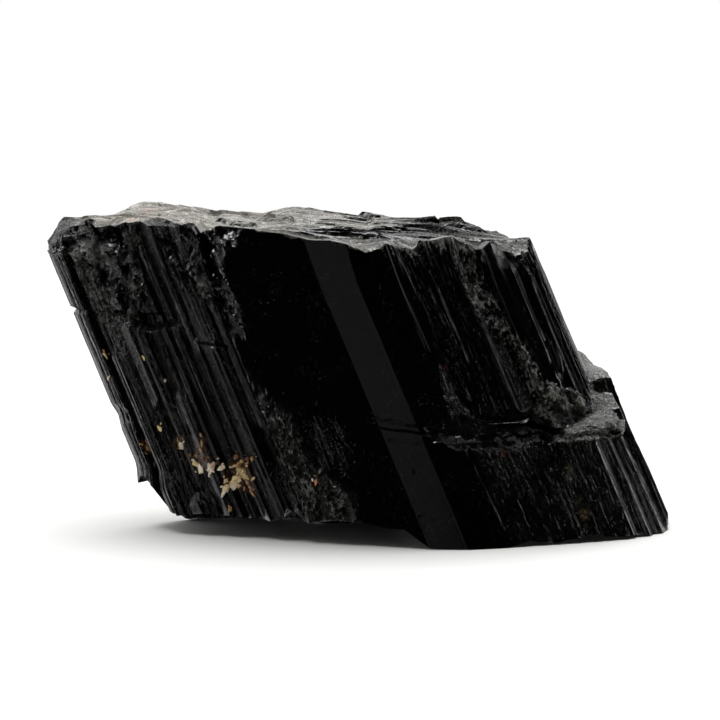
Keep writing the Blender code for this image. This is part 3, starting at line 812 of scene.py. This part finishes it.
def under_the_rim(points, zones, raised):
    """How far each place is lifted with the top break, and how far it lies below its rim."""
    across, depth = crystal_places(points)
    along_axis = np.stack([across, depth, np.zeros(len(points))], axis=1)
    tree = tree_of(along_axis, zones[:, SIDE] & zones[:, TOP])
    lift, below = np.zeros(len(points)), np.full(len(points), NOT_UNDER)
    for index in np.flatnonzero(~zones[:, BASE] & (points[:, 2] > 34.0)):
        if zones[index, TOP]:
            lift[index], below[index] = raised[index], 0.0
            continue
        _, nearest, _ = tree.find(along_axis[index])
        below[index] = points[nearest, 2] - points[index, 2]
        lift[index] = raised[nearest] * float(1 - smooth_step(0.0, RIM_DROP, below[index]))
    return lift, below


def carved(bm, settings):
    """Moves the crystal's vertices to their ribs, chips and slabs, and gives their finish: how
    broken, dusty and olive each is, and whether it is on the top break."""
    points = np.array([vert.co for vert in bm.verts]) / MM
    normals = np.array([vert.normal for vert in bm.verts])
    layer = bm.faces.layers.int["zone"]
    zones = np.zeros((len(points), 3), bool)
    for face in bm.faces:
        for vert in face.verts:
            zones[vert.index, face[layer]] = True
    side, top = zones[:, SIDE], zones[:, TOP]

    raised, grain, clean = top_relief(points)
    lift, below = under_the_rim(points, zones, raised)
    at = SidePlaces(points, normals, below, settings.seed)
    relief, worn = side_relief(at, settings)
    broken, dust, green = side_finish(at, worn)
    for zone, reach in INNER_REACH:
        tree = tree_of(points, side & zones[:, zone])
        for index in np.flatnonzero(~side & zones[:, zone]):
            _, nearest, away = tree.find(points[index])
            relief[index] = relief[nearest] * math.exp(-(away / reach) ** 2)

    moved = points + outward(at.across, at.depth) * relief[:, None]
    moved[:, 2] += lift
    ledge = (at.across > 26.5) & (at.height < 28.0) & (at.depth > FACING_DEPTH)
    ledge &= normals[:, 2] > 0.2
    share = 0.1 + 0.9 * smooth_step(27.2, 30.6, at.across[ledge])
    moved[ledge, 2] += share * np.interp(at.depth[ledge], *zip(*LEDGE_STEPS))
    # The left foot hangs just off the floor.
    moved[:, 2] += 0.2 * smooth_step(-24.0, -29.0, at.across) * smooth_step(7.0, 1.0, at.height)
    moved[:, 2] = np.maximum(moved[:, 2], 0.0)

    # The top has a finish of its own, which fades at its low left corner.
    x, y, height = points[top].T
    fading = smooth_step(38.8, 40.0, height)
    # Clearing the risers of grey and dust paints their shade.
    broken[top] = (0.4 + 0.3 * grain[top]) * (1 - clean[top]) * fading
    # The dust by X is partly a painted highlight, making the top lighter to the left.
    dust[top] = np.interp(x, *zip(*TOP_DUST_AND_SHEEN)) * (1 - within(x, y, TOP_CLEAN, 1.0))
    dust[top] *= 1 - clean[top]
    dust[top] *= fading * (1 - 0.3 * side[top])
    green[top] = 0.0
    for vert, spot in zip(bm.verts, moved * MM):
        vert.co = spot
    finish = [np.clip(share, 0, 1) for share in (broken, dust, green)]
    return np.stack([*finish, top.astype(float)], axis=1)


# Stains of iron and other minerals: x, y, height, reach and colour.
STAINS = (
    (-30.4, 9.3, 45.0, 2.4, "#A8695A"), (-31.8, -4.3, 44.8, 2.2, "#A8695A"),
    (12.2, -16.4, 25.1, 0.6, "#5C241C"), (20.6, -17.3, 12.8, 0.8, "#54342A"),
    (29.7, -14.6, 10.2, 0.9, "#464F2C"), (31.0, -15.3, 5.9, 1.0, "#3C4228"),
    (32.0, -15.6, 3.8, 1.2, "#5A4E38"), (-22.0, -10.5, 10.8, 2.2, "#6A4C30"),
    (-17.0, -12.5, 9.0, 3.0, "#6A4C30"), (-30.3, -6.0, 12.2, 1.6, "#5C4028"),
    (-36.4, -2.0, 25.2, 1.6, "#5C4028"), (-25.4, -9.0, 13.0, 1.4, "#5C4028"),
    (-22.3, -11.0, 13.4, 1.2, "#5C4028"), (-15.2, -12.8, 7.0, 1.2, "#6A4C30"),
)


def stains(mesh):
    """The colour and strength of the strongest stain at each vertex."""
    points = np.array([vert.co for vert in mesh.vertices]) / MM
    values = np.zeros((len(points), 4))
    for x, y, height, reach, colour in STAINS:
        away = np.linalg.norm(points - np.array((x, y, height)), axis=1)
        strength = 1 - smooth_step(0.2, 1.0, away / reach)
        stronger = strength > values[:, 3]
        values[stronger, :3] = linear(colour)
        values[stronger, 3] = strength[stronger]
    return values


# --- materials --------------------------------------------------------------------------


def add_node(tree, kind, inputs=None, output=0, **settings):
    """Adds a node and gives one of its outputs. Its inputs are values or other outputs."""
    node = tree.nodes.new(kind)
    for name, value in settings.items():
        setattr(node, name, value)
    for name, value in (inputs or {}).items():
        if isinstance(value, bpy.types.NodeSocket):
            tree.links.new(value, node.inputs[name])
        else:
            node.inputs[name].default_value = value
    return node.outputs[output]


def new_material(name):
    """A new material, its tree and its shader."""
    material = bpy.data.materials.new(name)
    material.use_nodes = True
    tree = material.node_tree
    return material, tree, tree.nodes["Principled BSDF"]


# Patterns in the schorl: sizes in mm across, deep and along, detail, roughness, and whether
# they follow the crystal's axis or, in the top's slabs, the X axis.
PATTERNS = {
    "lines": ((0.22, 0.22, 14.0), 2.0, 0.6, True),  # growth lines, drawn coarse enough to show
    "streaks": ((0.3, 0.3, 9.0), 5.0, 0.7, True),
    "slabs": ((7.0, 0.7, 1.0), 5.0, 0.74, False),
    "grit": ((0.4, 0.4, 0.8), 5.0, 0.74, True),
    "flecks": ((0.3, 0.3, 0.3), 3.0, 0.6, True),
    "blotches": ((4.0, 4.0, 4.0), 4.0, 0.65, True),
}


def schorl_patterns(tree):
    """The noise of each of the schorl's patterns."""
    place = add_node(tree, "ShaderNodeTexCoord", output="Object")
    seen = {}
    for name, (sizes, detail, roughness, turned) in PATTERNS.items():
        turn = TURNED.to_euler() if turned else (0.0, 0.0, 0.0)
        stretched = add_node(tree, "ShaderNodeMapping", {
            "Vector": place, "Rotation": turn, "Scale": [size * MM for size in sizes]},
            vector_type="TEXTURE")
        seen[name] = add_node(tree, "ShaderNodeTexNoise", {
            "Vector": stretched, "Scale": 1.0, "Detail": detail, "Roughness": roughness})
    return seen


def schorl_wear(tree, seen, broken, dust):
    """Where the schorl is rough, where dust covers its side and its top, and where it is
    specked. On the top the dust also paints a highlight to the left."""
    # Streaks break up the broken places, and grit the dusty ones.
    streaky = add_node(tree, "ShaderNodeMath", {0: seen["streaks"], 1: 1.0, 2: -0.5},
                       operation="MULTIPLY_ADD")
    gritty = add_node(tree, "ShaderNodeMath", {0: seen["grit"], 1: 0.6, 2: -0.3},
                      operation="MULTIPLY_ADD")
    uneven = add_node(tree, "ShaderNodeMath", {0: streaky, 1: gritty}, operation="ADD")
    share = add_node(tree, "ShaderNodeMath", {0: uneven, 1: broken}, operation="ADD")
    half = add_node(tree, "ShaderNodeMath", {0: streaky, 1: 0.5}, operation="MULTIPLY")
    rough = add_node(tree, "ShaderNodeMapRange", {
        "Value": share, "From Min": 0.2, "From Max": 0.75}, interpolation_type="SMOOTHSTEP")
    uneven = add_node(tree, "ShaderNodeMath", {0: gritty, 1: 4.5, 2: half},
                      operation="MULTIPLY_ADD")
    share = add_node(tree, "ShaderNodeMath", {0: dust, 1: uneven}, operation="ADD")
    side_dust = add_node(tree, "ShaderNodeMapRange", {
        "Value": share, "From Min": 0.55, "From Max": 1.05}, interpolation_type="SMOOTHSTEP")
    share = add_node(tree, "ShaderNodeMath", {0: dust, 1: 0.45, 2: seen["slabs"]},
                     operation="MULTIPLY_ADD")
    top_dust_and_sheen = add_node(tree, "ShaderNodeMapRange", {
        "Value": share, "From Min": 0.62, "From Max": 1.02}, interpolation_type="SMOOTHSTEP")

    # Specks of dust 0.1 to 0.3 mm across, in drifts.
    flecks = add_node(tree, "ShaderNodeMapRange", {"Value": seen["flecks"], "From Min": 0.6,
                                                   "From Max": 0.72})
    drifts = add_node(tree, "ShaderNodeMapRange", {"Value": seen["blotches"], "From Min": 0.45,
                                                   "From Max": 0.6})
    drifts = add_node(tree, "ShaderNodeMath", {0: drifts, 1: 0.12}, operation="MULTIPLY")
    drifts = add_node(tree, "ShaderNodeMath", {0: dust, 1: 0.7, 2: drifts},
                      operation="MULTIPLY_ADD")
    specks = add_node(tree, "ShaderNodeMath", {0: flecks, 1: drifts}, operation="MULTIPLY")
    return rough, side_dust, top_dust_and_sheen, specks


def schorl_material(settings):
    """Schorl, an iron tourmaline: opaque black glass-like faces, finely lined along the axis
    as they grew, with duller grey and olive breaks that hold rock dust."""
    material, tree, shader = new_material("schorl_grown_and_broken")
    finish = add_node(tree, "ShaderNodeVertexColor", layer_name="finish")
    top = finish.node.outputs["Alpha"]
    parts = add_node(tree, "ShaderNodeSeparateColor", {"Color": finish}).node
    broken, dust, green = parts.outputs[:3]
    seen = schorl_patterns(tree)
    rough, side_dust, top_dust_and_sheen, specks = schorl_wear(tree, seen, broken, dust)

    # Olive tint in blotches, and the stains where the grit is thick.
    olive = add_node(tree, "ShaderNodeMapRange", {"Value": seen["blotches"], "From Min": 0.35,
                                                  "From Max": 0.65})
    olive = add_node(tree, "ShaderNodeMath", {0: green, 1: olive}, operation="MULTIPLY")
    stain = add_node(tree, "ShaderNodeVertexColor", layer_name="stain")
    stained = add_node(tree, "ShaderNodeMapRange", {"Value": seen["grit"], "From Min": 0.42,
                                                    "From Max": 0.6})
    stained = add_node(tree, "ShaderNodeMath", {0: stained, 1: stain.node.outputs["Alpha"]},
                       operation="MULTIPLY")
    # Iron has rusted in some of the grooves between the left ribs.
    rust = add_node(tree, "ShaderNodeMapRange", {"Value": seen["streaks"], "From Min": 0.56,
                                                 "From Max": 0.68})
    rust = add_node(tree, "ShaderNodeMath", {0: rust, 1: rough}, operation="MULTIPLY")

    # On the side, each colour is laid over the last. On the top, pale dust lies straight on the
    # bruised stone, so that the slabs' risers, cleared of it as painted shade, stay black.
    colours = [(*settings.black, 1)]
    for share, laid_over in ((rough, settings.grey), (rust, settings.rust), (olive, settings.olive),
                             (side_dust, settings.dust), (specks, settings.pale)):
        colours.append(add_node(tree, "ShaderNodeMix", {
            0: share, 6: colours[-1], 7: (*laid_over, 1)}, 2, data_type="RGBA"))
    bruised, colour = colours[1], colours[-1]
    slabs = add_node(tree, "ShaderNodeMix", {0: top_dust_and_sheen, 6: bruised, 7: (*settings.pale, 1)}, 2,
                     data_type="RGBA")
    colour = add_node(tree, "ShaderNodeMix", {0: top, 6: colour, 7: slabs}, 2, data_type="RGBA")
    colour = add_node(tree, "ShaderNodeMix", {0: stained, 6: colour, 7: stain}, 2, data_type="RGBA")
    tree.links.new(colour, shader.inputs["Base Color"])

    # Clean faces are polished to a roughness of 0.08 to 0.18 along their growth lines, and
    # breaks and dust are satin.
    dull = add_node(tree, "ShaderNodeMath", {0: rough, 1: side_dust}, operation="MAXIMUM")
    clean = add_node(tree, "ShaderNodeMath", {0: seen["lines"], 1: 0.10, 2: 0.08},
                     operation="MULTIPLY_ADD")
    roughness = add_node(tree, "ShaderNodeMath", {0: dull, 1: 0.26, 2: clean},
                         operation="MULTIPLY_ADD")
    tree.links.new(roughness, shader.inputs["Roughness"])
    shader.inputs["IOR"].default_value = 1.64

    # The growth lines show most on broken ribs, and grit pits them.
    ribbed = add_node(tree, "ShaderNodeMath", {0: rough, 1: 0.8, 2: 0.2}, operation="MULTIPLY_ADD")
    ribbed = add_node(tree, "ShaderNodeMath", {0: ribbed, 1: seen["lines"]}, operation="MULTIPLY")
    lined = add_node(tree, "ShaderNodeBump", {
        "Strength": 0.5, "Distance": 0.06 * MM, "Height": ribbed})
    pitted = add_node(tree, "ShaderNodeMath", {0: seen["grit"], 1: rough}, operation="MULTIPLY")
    bump = add_node(tree, "ShaderNodeBump", {
        "Strength": 1.0, "Distance": 0.3 * MM, "Height": pitted, "Normal": lined})
    tree.links.new(bump, shader.inputs["Normal"])
    return material


def feldspar_material(settings):
    """Feldspar crumbs: cream, waxy and a little see-through at their edges, with rusty stains."""
    material, tree, shader = new_material("feldspar_crumbled")
    place = add_node(tree, "ShaderNodeTexCoord", output="Object")
    tone = add_node(tree, "ShaderNodeVertexColor", layer_name="tone")
    stain = add_node(tree, "ShaderNodeTexNoise", {
        "Vector": place, "Scale": 1 / (0.7 * MM), "Detail": 4.0, "Roughness": 0.7})
    share = add_node(tree, "ShaderNodeMapRange", {
        "Value": stain, "From Min": 0.50, "From Max": 0.68}, interpolation_type="SMOOTHSTEP")
    colour = add_node(tree, "ShaderNodeMix", {0: share, 6: tone, 7: (*settings.rust, 1)}, 2,
                      data_type="RGBA")
    tree.links.new(colour, shader.inputs["Base Color"])
    shader.inputs["Roughness"].default_value = 0.45
    shader.inputs["IOR"].default_value = 1.53
    grain = add_node(tree, "ShaderNodeTexNoise", {
        "Vector": place, "Scale": 1 / (0.3 * MM), "Detail": 3.0})
    bump = add_node(tree, "ShaderNodeBump", {
        "Strength": 0.6, "Distance": 0.1 * MM, "Height": grain})
    tree.links.new(bump, shader.inputs["Normal"])
    return material


def paper_material(settings):
    """Smooth matt card, which gives no highlight."""
    material, _, shader = new_material("paper_matt")
    shader.inputs["Base Color"].default_value = (*settings.paper, 1)
    shader.inputs["Roughness"].default_value = 0.9
    shader.inputs["Specular IOR Level"].default_value = 0.2
    return material


# --- operators --------------------------------------------------------------------------

SHARP_ANGLE = math.radians(24)


class OBJECT_OT_schorl_crystal(bpy.types.Operator):
    """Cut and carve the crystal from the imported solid, and give it its finish"""

    bl_idname = "object.schorl_crystal"
    bl_label = "Schorl crystal"

    def execute(self, context):
        settings = context.scene.schorl_crystal
        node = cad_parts[CRYSTAL_NODE]
        bm = refined(node, settings)
        finish = carved(bm, settings)
        mesh = bpy.data.meshes.new("crystal_body")
        bm.to_mesh(mesh)
        bm.free()
        mesh.attributes.remove(mesh.attributes["zone"])
        for name, values in (("finish", finish), ("stain", stains(mesh))):
            colours = mesh.color_attributes.new(name, "FLOAT_COLOR", "POINT")
            colours.data.foreach_set("color", values.astype(np.float32).ravel())
        mesh.materials.append(schorl_material(settings))
        body = bpy.data.objects.new("crystal_body", mesh)
        context.scene.collection.objects.link(body)
        bpy.ops.object.select_all(action="DESELECT")
        body.select_set(True)
        context.view_layer.objects.active = body
        bpy.ops.object.shade_smooth_by_angle(angle=SHARP_ANGLE)
        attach(body, "root")
        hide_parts(CRYSTAL_NODE)
        return {"FINISHED"}


# Shards of feldspar, by x and height on the front: length and width in mm, how far they lean
# to the left, how many small ones lie round them, and their colour.
CREAM, TAN, WHITE, PINK, BROWN = "#D9C08C", "#A98553", "#E8DCC4", "#C39A82", "#6A4A30"
CRUMBS = (
    (-28.5, 15.1, 0.9, 0.6, 0, 1, CREAM), (-30.4, 12.9, 0.9, 0.35, 20, 1, TAN),
    (-30.2, 11.6, 1.1, 0.4, 15, 2, TAN), (-29.3, 9.3, 0.5, 0.3, 0, 1, BROWN),
    (-25.7, 13.3, 0.9, 0.5, 60, 2, TAN), (-25.2, 12.8, 0.9, 0.7, 40, 2, WHITE),
    (-22.3, 14.4, 0.7, 0.25, 0, 1, TAN), (-22.3, 13.4, 0.8, 0.3, 5, 1, TAN),
    (-22.4, 12.4, 0.7, 0.3, -8, 1, TAN), (-23.9, 11.4, 0.5, 0.4, 0, 2, BROWN),
    (-23.0, 11.1, 0.6, 0.4, 50, 3, TAN), (-22.1, 11.1, 0.6, 0.4, 0, 3, BROWN),
    (-22.4, 9.3, 1.5, 1.1, 10, 3, WHITE), (-22.8, 10.0, 0.9, 0.7, 60, 2, CREAM),
    (-21.1, 9.8, 1.1, 0.8, 40, 2, WHITE), (-20.5, 10.3, 0.9, 0.6, 20, 2, PINK),
    (-19.5, 9.9, 1.1, 0.6, -35, 1, WHITE), (-17.2, 11.5, 0.7, 0.5, 40, 2, BROWN),
    (-16.5, 11.0, 0.9, 0.5, -30, 3, TAN), (-15.6, 11.3, 0.7, 0.5, 30, 3, BROWN),
    (-14.9, 11.6, 0.5, 0.4, 0, 2, TAN), (-16.8, 10.4, 0.9, 0.7, 0, 2, TAN),
    (-16.9, 9.6, 1.3, 0.9, -10, 3, CREAM), (-16.4, 8.9, 1.2, 0.9, 30, 3, CREAM),
    (-17.5, 8.5, 1.4, 1.1, -30, 3, CREAM), (-18.1, 7.6, 1.5, 1.2, -50, 3, WHITE),
    (-18.7, 7.3, 1.1, 0.8, -60, 2, CREAM), (-19.2, 6.2, 1.2, 0.5, -15, 1, WHITE),
    (-18.9, 8.2, 0.6, 0.5, 0, 2, CREAM), (-16.0, 9.6, 0.9, 0.7, 30, 2, CREAM),
    (-15.8, 8.7, 1.1, 0.6, 30, 2, CREAM), (-15.5, 7.8, 1.1, 0.45, 35, 2, PINK),
    (-15.1, 6.9, 1.1, 0.35, 35, 1, PINK), (-14.8, 6.1, 0.8, 0.3, 30, 1, PINK),
    (-18.3, 4.1, 0.6, 0.5, 0, 1, TAN), (-6.0, 8.8, 0.7, 0.4, 20, 1, "#D98A62"),
    (-6.4, 9.1, 0.4, 0.3, 0, 0, WHITE), (-36.3, 24.9, 1.0, 0.3, 25, 1, CREAM),
    (-36.6, 25.6, 0.5, 0.3, 0, 1, TAN), (-30.6, 25.0, 0.8, 0.4, 25, 1, CREAM),
    (-27.6, 22.1, 0.4, 0.3, 0, 0, WHITE), (-36.0, 21.8, 0.5, 0.4, 0, 1, WHITE),
)
CRUMB_SHAPES = 6
CRUMB_CUTS, CUT_DEPTHS = 8, (0.13, 0.32)  # mm from the middle of a ball 1 mm across
CRUMB_SIZE = 1.7  # the cuts take away so much, so each starts larger
SMALL_SIZES = (0.25, 0.5)  # of the small crumbs, as shares of the shard that they lie round
SHADES = (0.75, 1.1)
STAND_OFF = 0.04  # mm from the rib to a crumb's middle
IN_FRONT = -0.08  # metres: where the way to a crumb's place starts


def crumb_shape(seed):
    """A small angular chip: a ball cut down by planes."""
    bpy.ops.object.select_all(action="DESELECT")
    bpy.ops.mesh.primitive_ico_sphere_add(subdivisions=2, radius=0.5 * MM, location=(0, 0, 0))
    chip = bpy.context.object
    rng = np.random.default_rng(seed)
    bpy.ops.object.mode_set(mode="EDIT")
    for _ in range(CRUMB_CUTS):
        normal = rng.normal(size=3)
        normal /= np.linalg.norm(normal)
        bpy.ops.mesh.select_all(action="SELECT")
        bpy.ops.mesh.bisect(plane_co=normal * rng.uniform(*CUT_DEPTHS) * MM, plane_no=normal,
                            use_fill=True, clear_outer=True)
    bpy.ops.mesh.select_all(action="SELECT")
    bpy.ops.mesh.dissolve_limited(angle_limit=math.radians(8))
    bpy.ops.object.mode_set(mode="OBJECT")
    return chip


class OBJECT_OT_feldspar_crumbs(bpy.types.Operator):
    """Bed angular crumbs of feldspar in the crystal's ribs"""

    bl_idname = "object.feldspar_crumbs"
    bl_label = "Feldspar crumbs"

    def execute(self, context):
        settings = context.scene.feldspar_crumbs
        body = bpy.data.objects["crystal_body"]
        tree = BVHTree.FromObject(body, context.evaluated_depsgraph_get())
        chips = [crumb_shape(seed) for seed in range(CRUMB_SHAPES)]
        rng = np.random.default_rng(5)
        bm = bmesh.new()
        tones = bm.verts.layers.float_color.new("tone")
        for x, height, length, width, lean, extra, colour in CRUMBS:
            for number in range(extra + 1):
                away = rng.normal(size=2) * (length + 0.2) * 0.5 if number else (0.0, 0.0)
                size = rng.uniform(*SMALL_SIZES) if number else 1.0
                start = Vector(((x + away[0]) * MM, IN_FRONT, (height + away[1]) * MM))
                spot, normal, _, _ = tree.ray_cast(start, Vector((0, 1, 0)))
                if spot is None:
                    raise RuntimeError("a crumb misses the crystal")
                leaning = lean + rng.uniform(-15, 15) * (1 + 3 * number)
                turn = Matrix.Rotation(-math.radians(leaning), 4, "Y")
                scale = Vector((width, 0.6 * width + 0.2, 1.2 * length))
                scale = scale * CRUMB_SIZE * size * settings.scale
                stand = Matrix.Translation(spot + normal * STAND_OFF * MM)
                copy = chips[rng.integers(len(chips))].data.copy()
                copy.transform(stand @ turn @ Matrix.Diagonal((*scale, 1)))
                first = len(bm.verts)
                bm.from_mesh(copy)
                bm.verts.ensure_lookup_table()
                shade = rng.uniform(*SHADES)
                for vert in bm.verts[first:]:
                    vert[tones] = (*(part * shade for part in linear(colour)), 1.0)
                bpy.data.meshes.remove(copy)
        for chip in chips:
            bpy.data.objects.remove(chip)
        bmesh.ops.recalc_face_normals(bm, faces=bm.faces[:])
        mesh = bpy.data.meshes.new("feldspar_crumbs")
        bm.to_mesh(mesh)
        bm.free()
        mesh.materials.append(feldspar_material(settings))
        crumbs = bpy.data.objects.new("feldspar_crumbs", mesh)
        context.scene.collection.objects.link(crumbs)
        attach(crumbs, "root")
        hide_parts(CRUST_NODE)
        return {"FINISHED"}


# The studio, in metres. Each light has its place, what it is turned to, its size and radiance:
# one softbox overhead and a little behind, and a card so dim that only the grey facet shows it.
CAMERA_AT, CAMERA_PITCH = (0.0003, -0.50312, 0.09006), math.radians(7.5)
PAPER_LEFT, PAPER_RIGHT, PAPER_FRONT, PAPER_BACK = -0.5, 0.5, -0.14, 0.5
PAPER_HEIGHT = -2e-5
LIGHTS = {
    "overhead": ((-0.05, 0.15, 0.7), (0, 0, 0), (0.8, 0.55), 5.6),
    "dim_card": ((-0.066, -0.50, 0.07), (0, 0, 0.02), (0.07, 0.26), 0.13),
}


def area_light(name, location, target, size, radiance):
    """Adds a soft light, a rectangle of that size and radiance turned to a target."""
    data = bpy.data.lights.new(name, "AREA")
    data.shape = "RECTANGLE"
    data.size, data.size_y = size
    data.energy = radiance * math.pi * size[0] * size[1]
    made = bpy.data.objects.new(name, data)
    made.location = location
    made.rotation_mode = "QUATERNION"
    made.rotation_quaternion = (Vector(target) - Vector(location)).to_track_quat("-Z", "Y")
    bpy.context.scene.collection.objects.link(made)


def backdrop(context, settings):
    """White behind the crystal and beside it, dark in its own shadow and on the camera's side."""
    world = bpy.data.worlds.new("studio")
    context.scene.world = world
    world.use_nodes = True
    tree = world.node_tree
    shader = tree.nodes["Background"]
    shader.inputs["Color"].default_value = (1.0, 1.0, 1.0, 1.0)
    # It brightens from the camera's side to the back, and a little to the left.
    direction = add_node(tree, "ShaderNodeTexCoord", output="Generated")
    x, y, z = add_node(tree, "ShaderNodeSeparateXYZ", {0: direction}).node.outputs
    sideways = add_node(tree, "ShaderNodeMath", {0: x, 1: -0.22, 2: y}, operation="MULTIPLY_ADD")
    level = add_node(tree, "ShaderNodeMapRange", {
        "Value": sideways, "From Min": -0.62, "From Max": 0.75, "To Max": 1.3},
        interpolation_type="SMOOTHSTEP")
    # It is dark below the paper, and less so to the sides.
    aside = add_node(tree, "ShaderNodeMath", {0: x}, operation="ABSOLUTE")
    shaded = add_node(tree, "ShaderNodeMath", {0: aside, 1: 0.8, 2: z}, operation="MULTIPLY_ADD")
    shaded = add_node(tree, "ShaderNodeMapRange", {
        "Value": shaded, "From Min": -0.35, "From Max": 0.0}, interpolation_type="SMOOTHSTEP")
    level = add_node(tree, "ShaderNodeMath", {0: level, 1: shaded}, operation="MULTIPLY")
    # Seen directly, it is white all over.
    camera_ray = add_node(tree, "ShaderNodeLightPath", output="Is Camera Ray")
    level = add_node(tree, "ShaderNodeMix", {0: camera_ray, 2: level, 3: 1.0})
    strength = add_node(tree, "ShaderNodeMath", {0: level, 1: settings.sky}, operation="MULTIPLY")
    tree.links.new(strength, shader.inputs["Strength"])


class OBJECT_OT_stone_studio(bpy.types.Operator):
    """Lay the paper, and set the camera and the lights"""

    bl_idname = "object.stone_studio"
    bl_label = "Studio"

    def execute(self, context):
        settings = context.scene.stone_studio
        scene = context.scene
        bpy.ops.object.select_all(action="DESELECT")
        bpy.ops.mesh.primitive_plane_add(size=2.0, location=(0, 0, 0))
        paper = context.object
        paper.name = "paper"
        for vert in paper.data.vertices:
            vert.co = (PAPER_RIGHT if vert.co.x > 0 else PAPER_LEFT,
                       PAPER_BACK if vert.co.y > 0 else PAPER_FRONT, PAPER_HEIGHT)
        paper.data.materials.append(paper_material(settings))
        paper.visible_glossy = False  # the glassy faces don't mirror it
        camera_data = bpy.data.cameras.new("camera")
        camera_data.lens = settings.lens
        camera_data.sensor_width = 36.0
        camera = bpy.data.objects.new("camera", camera_data)
        camera.location = CAMERA_AT
        camera.rotation_euler = (math.radians(90) - CAMERA_PITCH, 0, 0)
        scene.collection.objects.link(camera)
        scene.camera = camera
        for name, (location, target, size, radiance) in LIGHTS.items():
            area_light(name, location, target, size, radiance)
        backdrop(context, settings)
        scene.view_settings.view_transform = "Standard"
        scene.view_settings.look = "None"
        return {"FINISHED"}


class VIEW3D_PT_schorl(bpy.types.Panel):
    """The crystal's sizes, colours and steps"""

    bl_label = "Schorl crystal"
    bl_idname = "VIEW3D_PT_schorl"
    bl_space_type = "VIEW_3D"
    bl_region_type = "UI"
    bl_category = "Crystal"

    def draw(self, context):
        layout = self.layout
        for group, operator in (("schorl_crystal", "object.schorl_crystal"),
                                ("feldspar_crumbs", "object.feldspar_crumbs"),
                                ("stone_studio", "object.stone_studio")):
            box = layout.box()
            settings = getattr(context.scene, group)
            for name in settings.__annotations__:
                box.prop(settings, name)
            box.operator(operator)


CLASSES = (CrystalSettings, CrumbSettings, StudioSettings, OBJECT_OT_schorl_crystal,
           OBJECT_OT_feldspar_crumbs, OBJECT_OT_stone_studio, VIEW3D_PT_schorl)
GROUPS = {"schorl_crystal": CrystalSettings, "feldspar_crumbs": CrumbSettings,
          "stone_studio": StudioSettings}


def register():
    """Adds the add-on's classes and its settings."""
    for each in CLASSES:
        bpy.utils.register_class(each)
    for name, group in GROUPS.items():
        setattr(bpy.types.Scene, name, PointerProperty(type=group))


def unregister():
    """Takes them away again."""
    for name in GROUPS:
        delattr(bpy.types.Scene, name)
    for each in reversed(CLASSES):
        bpy.utils.unregister_class(each)


def main():
    """Makes the crystal, its crumbs and the studio."""
    register()
    bpy.ops.object.schorl_crystal()
    bpy.ops.object.feldspar_crumbs()
    bpy.ops.object.stone_studio()


if __name__ == "__main__":
    main()
